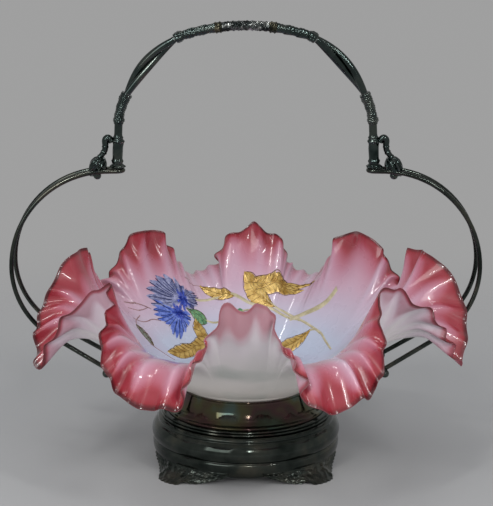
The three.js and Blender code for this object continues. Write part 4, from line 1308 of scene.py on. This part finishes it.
def leaves_on(rows, share, turn):
    """How far the beads and leaves of a bar stand out, as a share of its radius."""
    return sum(
        size * bulge(share, middle, width) * (plain + (1 - plain) * np.cos(count * turn + start))
        for size, middle, width, plain, count, start in rows
    )


def cap_radius(share, turn):
    return CAP_RADIUS * (follow(CAP_SHARES, share) + leaves_on(CAP_LEAVES, share, turn))


def post_radius(share, turn):
    grooves = 0.03 * np.cos(8 * turn + 2 * share) * bulge(share, 0.3, 0.2)
    return POST_RADIUS * (follow(POST_SHARES, share) + leaves_on(POST_LEAVES, share, turn) + grooves)


def socket_radius(share, turn):
    beads = 0.06 * np.cos(2 * math.pi * 14 * share + np.cos(2 * turn)) * np.cos(6 * turn + 5 * share)
    return SOCKET_RADIUS * (follow(SOCKET_SHARES, share) + leaves_on(SOCKET_LEAVES, share, turn) + beads)


def strand_radius(share, turn):
    taper = 1.06 + 0.12 * np.sin(math.pi * share)
    grain = 0.03 * np.cos(3 * turn + 5 * share) + 0.02 * np.cos(7 * turn - 9 * share)
    return BRANCH_RADIUS * (taper + grain)


def knot_radius(share, turn):
    petals = 0.05 * np.cos(5 * turn + 2 * share) + 0.04 * np.cos(9 * turn)
    beads = leaves_on(KNOT_BEADS, share, turn)
    return KNOT_RADIUS * (0.92 + beads + petals * np.sin(math.pi * share))


def sheath_radius(share, turn):
    leaf = (share * 2.6 + 0.1 * np.cos(3 * turn)) % 1
    overlap = 0.13 * smoothstep(leaf, 0.0, 0.8) * (1 - smoothstep(leaf, 0.84, 1))
    veins = 0.04 * np.cos(9 * turn) * leaf + 0.035 * np.cos(60 * share + 3 * turn) * np.cos(5 * turn)
    return SHEATH_RADIUS * (0.9 + overlap + veins)


def collar_radius(share, turn):
    flutes = 0.05 * np.cos(9 * turn) * np.sin(math.pi * share)
    return COLLAR_RADIUS * (0.86 + leaves_on(COLLAR_BEADS, share, turn) + flutes)


def grip_radius(share, turn):
    knobs = np.cos(2 * math.pi * 9 * share + 1.6 * np.cos(2 * turn)) * np.cos(4 * turn + 9 * share)
    bark = 0.5 * np.cos(83 * share + 5 * turn) + 0.4 * np.cos(127 * share - 7 * turn + 1)
    return GRIP_RADIUS * (0.96 + 0.11 * knobs + 0.06 * bark)


def strand_line(phase):
    """One strand of an arm: it twists half a turn round the middle line."""
    offset = BRANCH_RADIUS + SEAM / 2
    middle = cut(BRANCH_LINE, 2 * SEAM, BRANCH_LENGTH - KNOT_LENGTH / 2 - 2 * SEAM, STRAND_STEPS)
    along = directions_along(middle)
    turn = phase + (0.5 - np.linspace(0, 1, STRAND_STEPS)) * math.pi
    across = np.stack([along[:, 2], 0 * turn, -along[:, 0]], axis=1) * np.cos(turn)[:, None]
    return middle + offset * (across - np.sin(turn)[:, None] * [0, 1, 0])


cap_line = [(POST_REACH, 0, CAP_BOTTOM + CAP_HEIGHT * k / CAP_STEPS) for k in range(CAP_STEPS + 1)]
socket_line = cut(SOCKET_LINE, 0, run_along(SOCKET_LINE)[-1], LINE_STEPS)
sheath_line = cut(CROWN_LINE, KNOT_LENGTH / 2 - SEAM, COLLAR_START + SEAM, SHEATH_STEPS)
collar_line = cut(CROWN_LINE, COLLAR_START, GRIP_START + SEAM, COLLAR_STEPS)
grip_line = cut(CROWN_LINE, GRIP_START, GRIP_START + GRIP_LENGTH, GRIP_STEPS)

# Each bar as name, line, radius, number of sides and the node it replaces
on_both_sides("post_cap", cap_line, cap_radius, 56, "post_foot")
on_both_sides("turned_post", POST_LINE, post_radius, 40, "post")
on_both_sides("leaf_socket", socket_line, socket_radius, 48, "branch_socket", depth=HANDLE_DEPTH)
on_both_sides("outer_strand", strand_line(0), strand_radius, 28, "outer_branch")
on_both_sides("inner_strand", strand_line(math.pi), strand_radius, 28, "inner_branch")
on_both_sides("leaf_knot", KNOT_LINE, knot_radius, 44, "branch_knot", depth=HANDLE_DEPTH)
on_both_sides("leaf_sheath", sheath_line, sheath_radius, 44, "grip_sheath")
on_both_sides("brass_collar", collar_line, collar_radius, 48, "grip_collar", "worn_brass")
swept_piece("bark_grip", grip_line, grip_radius, 64, "worn_grip", "handle_grip")


# Scroll with the leaf that clasps the wires

SCROLL_SHARES = [
    (0, 0.8), (0.1, 0.97), (0.26, 1.03), (0.4, 0.92), (0.42, 0.66), (0.46, 0.42), (0.62, 0.22),
    (0.85, 0.02),
]
SCROLL_TAPER = [(0, 1.1), (0.3, 1.4), (0.5, 1.2), (1, 1)]
SCROLL_STEPS = 141
CLASP_STEPS = 81
BALL_STEPS = 40
BALL_RADIUS = 0.24 * CLAMP_HEIGHT


def scroll_line():
    start = POST_REACH + 1.1 * POST_RADIUS
    clamp_top = HOOP_TOP + CLAMP_LIFT + CLAMP_HEIGHT / 2
    points = [
        (start + (CLAMP_REACH - start) * out, 0, clamp_top + up * SCROLL_RISE) for out, up in SCROLL_SHARES
    ]
    return even_line(points, SCROLL_STEPS)


def scroll_radius(share, turn):
    rings = np.maximum(np.cos(2 * math.pi * 5 * (share - 0.55)), 0) ** 3 * smoothstep(share, 0.45, 0.6)
    return SCROLL_RADIUS * (follow(SCROLL_TAPER, share) + 0.24 * rings + 0.05 * np.cos(4 * turn))


def leaf_radius(share, turn):
    outline = np.sin(math.pi * np.clip(share, 0.02, 0.985) ** 0.8) ** 0.62
    veins = 0.08 * np.cos(9 * turn + 3 * share) + 0.04 * np.cos(18 * turn + 8 * share)
    return CLAMP_HEIGHT / 2 * outline * (0.92 + veins)


def ball_radius(share, turn):
    ball = np.sqrt(np.maximum(1 - (2 * share - 1) ** 2, 0.0004))
    return BALL_RADIUS * ball * (1 + 0.05 * np.cos(5 * turn))


clasp_middle = np.array([CLAMP_REACH, 0, HOOP_TOP + CLAMP_LIFT])
clasp_tip = np.array([0.44 * CLAMP_LENGTH, 0, -0.56 * CLAMP_HEIGHT])
clasp_line = [clasp_middle + clasp_tip * k for k in np.linspace(-1, 1, CLASP_STEPS)]
clasp_depth = CLAMP_WIDTH / CLAMP_HEIGHT
on_both_sides("leaf_clasp", clasp_line, leaf_radius, 72, "leaf_clamp", depth=clasp_depth)
on_both_sides("scroll_stem", scroll_line(), scroll_radius, 28, "scroll")
for side, sign in SIDES:
    ball_x = sign * (CLAMP_REACH - 0.02 * CLAMP_LENGTH)
    ball_top = HOOP_TOP + CLAMP_LIFT - 0.3 * CLAMP_HEIGHT
    ball_line = [(ball_x, 0, ball_top - 2 * BALL_RADIUS * k / BALL_STEPS) for k in range(BALL_STEPS + 1)]
    swept_piece(f"clasp_ball_{side}", ball_line, ball_radius, 36, "handle_plate")


# Underside: the plate, and the bolt that draws cup and base together

PLATE_TOP = FOOT_HEIGHT - SEAM
PLATE_WALL = 1.5 * MM
PLATE_RIM_HEIGHT = 4.2 * MM
PLATE_RIM_WALL = 2.5 * MM
PLATE_BOTTOM = PLATE_TOP - PLATE_WALL
BOLT_RADIUS = 2.5 * MM
BOLT_HEAD_RADIUS = 5 * MM
BOLT_HEAD_HEIGHT = 2.4 * MM
BOLT_END = 2 * MM
BOLT_TOP = SEAT_TOP + SEAM + BOLT_HEAD_HEIGHT
BOLT_STEPS = 481
DOME_START = 0.35
DOME_SPAN = 0.43
WASHER_RADIUS = 6.5 * MM
WASHER_THICKNESS = 0.8 * MM
NUT_RADIUS = 5.2 * MM
NUT_HEIGHT = 2.9 * MM
THREAD_PITCH = 0.8 * MM
THREAD_DEPTH = 0.16 * MM
WASHER_EDGE = 0.2 * MM
NUT_EDGE = 0.5 * MM
SPIN_DEPTH = 0.25 * MM
SPIN_STEPS = 90
SPIN_EDGE = 3 * MM
SPIN_MIDDLE = 8 * MM
PLATE_EDGE = 0.4 * MM
RIM_CORNER = 0.5 * MM
BEAD_SIDE = 0.8 * MM
BEAD_LOW = 0.2 * MM


def plate_profile():
    """The pressed plate with its rolled rim, and faint spinning marks below."""
    rim = PLATE_RADIUS - PLATE_RIM_WALL
    low = PLATE_TOP - PLATE_RIM_HEIGHT
    marks = [
        (r, PLATE_BOTTOM - SPIN_DEPTH * math.sin(r / MM) ** 2)
        for r in np.linspace(rim - SPIN_EDGE, SPIN_MIDDLE, SPIN_STEPS)
    ]
    start = (BOLT_HOLE, PLATE_TOP)
    return [
        start, (PLATE_RADIUS - PLATE_EDGE, PLATE_TOP), (PLATE_RADIUS, PLATE_TOP - PLATE_EDGE),
        (PLATE_RADIUS, low + BEAD_SIDE), (PLATE_RADIUS - PLATE_EDGE, low + BEAD_LOW),
        (PLATE_RADIUS - PLATE_RIM_WALL / 2, low), (rim + PLATE_EDGE, low + BEAD_LOW),
        (rim, low + BEAD_SIDE), (rim, PLATE_BOTTOM - PLATE_EDGE), (rim - RIM_CORNER, PLATE_BOTTOM),
        *marks, (BOLT_HOLE, PLATE_BOTTOM), start,
    ]


def chamfered(radius, low, top, edge):
    """A ring round the bolt with its outer edges broken."""
    return [
        (BOLT_HOLE, low), (radius - edge, low), (radius, low + edge), (radius, top - edge),
        (radius - edge, top), (BOLT_HOLE, top), (BOLT_HOLE, low),
    ]


def bolt_radius(share, turn):
    """A threaded shank under a domed head."""
    height = BOLT_END + share * (BOLT_TOP - BOLT_END)
    thread = THREAD_DEPTH * np.cos(2 * math.pi * height / THREAD_PITCH - turn)
    shank = BOLT_RADIUS - THREAD_DEPTH + thread
    head_way = (height - SEAT_TOP - SEAM) / BOLT_HEAD_HEIGHT
    drop = np.clip(head_way - DOME_START, 0, 1) ** 2 / DOME_SPAN
    dome = BOLT_HEAD_RADIUS * np.sqrt(np.clip(1 - drop, 0.01, 1))
    return np.where(head_way > 0, dome + 0 * turn, shank)


washer_top = PLATE_BOTTOM - SEAM
washer_low = washer_top - WASHER_THICKNESS
nut_top = washer_low - SEAM
nut_low = nut_top - NUT_HEIGHT
bolt_line = [(0, 0, z) for z in np.linspace(BOLT_END, BOLT_TOP, BOLT_STEPS)]
washer_profile = chamfered(WASHER_RADIUS, washer_low, washer_top, WASHER_EDGE)
nut_profile = chamfered(NUT_RADIUS, nut_low, nut_top, NUT_EDGE)
turned_piece("pressed_plate", plate_profile(), TURNED_SIDES, "tarnished_plate", "base_plate")
swept_piece("threaded_bolt", bolt_line, bolt_radius, 32, "steel_fixings", "centre_bolt")
turned_piece("flat_washer", washer_profile, 64, "steel_fixings", "centre_washer")
turned_piece("hexagon_nut", nut_profile, 6, "steel_fixings", "centre_nut")


# Camera, light and floor

CAMERA_PLACE = (0.5 * MM, -1250 * MM, 448.3 * MM)
CAMERA_AIM = (0.5 * MM, 0, 137.35 * MM)
LENS = 142.58
SENSOR = 36
CLIP_END = 20
BACKDROP = linear(158, 158, 158)
ROOM_COLOUR = (0.92, 0.95, 1, 1)
ROOM_STRENGTH = 0.5
FLOOR_COLOUR = linear(230, 230, 228)
FLOOR_SIDES = 96
FLOOR_RADIUS = 700 * MM
FLOOR_CLEAR = 620 * MM
FLOOR_FULL = 190 * MM

# Lamps as place, aim, width, height, power, and whether they are seen mirrored in the object
LAMPS = {
    "key_window": ((-0.8, -1.15, 0.78), (0, 0, 0.1), 0.8, 0.9, 5.5, True),
    "fill_window": ((0.85, -1.05, 0.6), (0, 0, 0.1), 0.7, 0.8, 4.7, False),
    "top_light": ((0.1, 0.3, 1.3), (0, 0, 0.1), 0.8, 0.6, 1.2, False),
    "left_glow": ((-1.0, -0.75, 0.12), (-0.1, 0, 0.09), 0.5, 0.25, 4.2, False),
    "right_glow": ((1.0, -0.7, 0.12), (0.1, 0, 0.09), 0.5, 0.25, 2.4, False),
    "left_strip": ((-0.55, -0.9, 1.0), (0, 0, 0.12), 0.04, 0.36, 2.6, True),
    "right_strip": ((0.6, -0.8, 0.9), (0, 0, 0.12), 0.04, 0.36, 2.6, True),
    "upper_strip": ((-0.35, 0.2, 1.2), (0, 0, 0.12), 0.5, 0.02, 1, True),
    "handle_strip": ((-0.25, -0.45, 1.25), (0, 0, 0.2), 0.5, 0.03, 1.7, True),
    "front_strip": ((0.12, -1.5, 0.75), (0, 0, 0.12), 0.05, 0.25, 1.4, True),
}


def aimed(place, aim):
    """The turn that points a camera or lamp from its place at its aim."""
    return (Vector(aim) - Vector(place)).to_track_quat("-Z", "Y").to_euler()


def place_camera():
    bpy.ops.object.camera_add(location=CAMERA_PLACE)
    camera = bpy.context.active_object
    camera.name = "view_camera"
    camera.rotation_euler = aimed(CAMERA_PLACE, CAMERA_AIM)
    camera.data.lens = LENS
    camera.data.sensor_width = SENSOR
    camera.data.clip_end = CLIP_END
    bpy.context.scene.camera = camera


def soft_lamp(name, place, aim, width, height, power, mirrored):
    bpy.ops.object.light_add(type="AREA", location=place)
    lamp = bpy.context.active_object
    lamp.name = name
    lamp.data.shape = "RECTANGLE"
    lamp.data.size = width
    lamp.data.size_y = height
    lamp.data.energy = power
    lamp.visible_glossy = mirrored
    lamp.rotation_euler = aimed(place, aim)


def shown_rays(n):
    """1 for the rays by which the backdrop is seen: straight, mirrored or through glass."""
    path = n.add("ShaderNodeLightPath")
    total = path.outputs["Is Camera Ray"]
    for kind in ("Is Glossy Ray", "Is Transmission Ray"):
        total = n.maths("MAXIMUM", total, path.outputs[kind])
    return total


def backdrop_world():
    """A soft room light, in front of a plain grey backdrop."""
    world = bpy.data.worlds.new("studio")
    bpy.context.scene.world = world
    n = Nodes(world)
    room = n.tree.nodes["Background"]
    n.feed(room.inputs["Color"], ROOM_COLOUR)
    n.feed(room.inputs["Strength"], ROOM_STRENGTH)
    seen = n.add("ShaderNodeBackground", Color=BACKDROP, Strength=1)
    n.surface("World Output", shown_rays(n), room.outputs["Background"], seen.outputs["Background"])


def floor_piece():
    """A pale floor that melts into the backdrop away from the object."""
    deselect()
    bpy.ops.mesh.primitive_circle_add(vertices=FLOOR_SIDES, radius=FLOOR_RADIUS, fill_type="NGON")
    floor = bpy.context.active_object
    floor.name = "studio_floor"
    n = new_material("pale_floor")
    shade = n.mix(shown_rays(n), FLOOR_COLOUR, BACKDROP)
    n.finish(Base_Color=shade, Roughness=0.9, Specular_IOR_Level=0.1)
    distance = n.add("ShaderNodeVectorMath", {"operation": "LENGTH"}, Vector=n.place())
    fade = n.add(
        "ShaderNodeMapRange", {"interpolation_type": "SMOOTHSTEP"}, Value=distance.outputs["Value"],
        From_Min=FLOOR_FULL, From_Max=FLOOR_CLEAR,
    )
    clear = n.add("ShaderNodeBsdfTransparent")
    n.surface("Material Output", fade.outputs["Result"], n.shader.outputs["BSDF"], clear.outputs["BSDF"])
    floor.data.materials.append(n.holder)


place_camera()
backdrop_world()
floor_piece()
for name, lamp in LAMPS.items():
    soft_lamp(name, *lamp)

bpy.context.scene.view_settings.view_transform = "Standard"
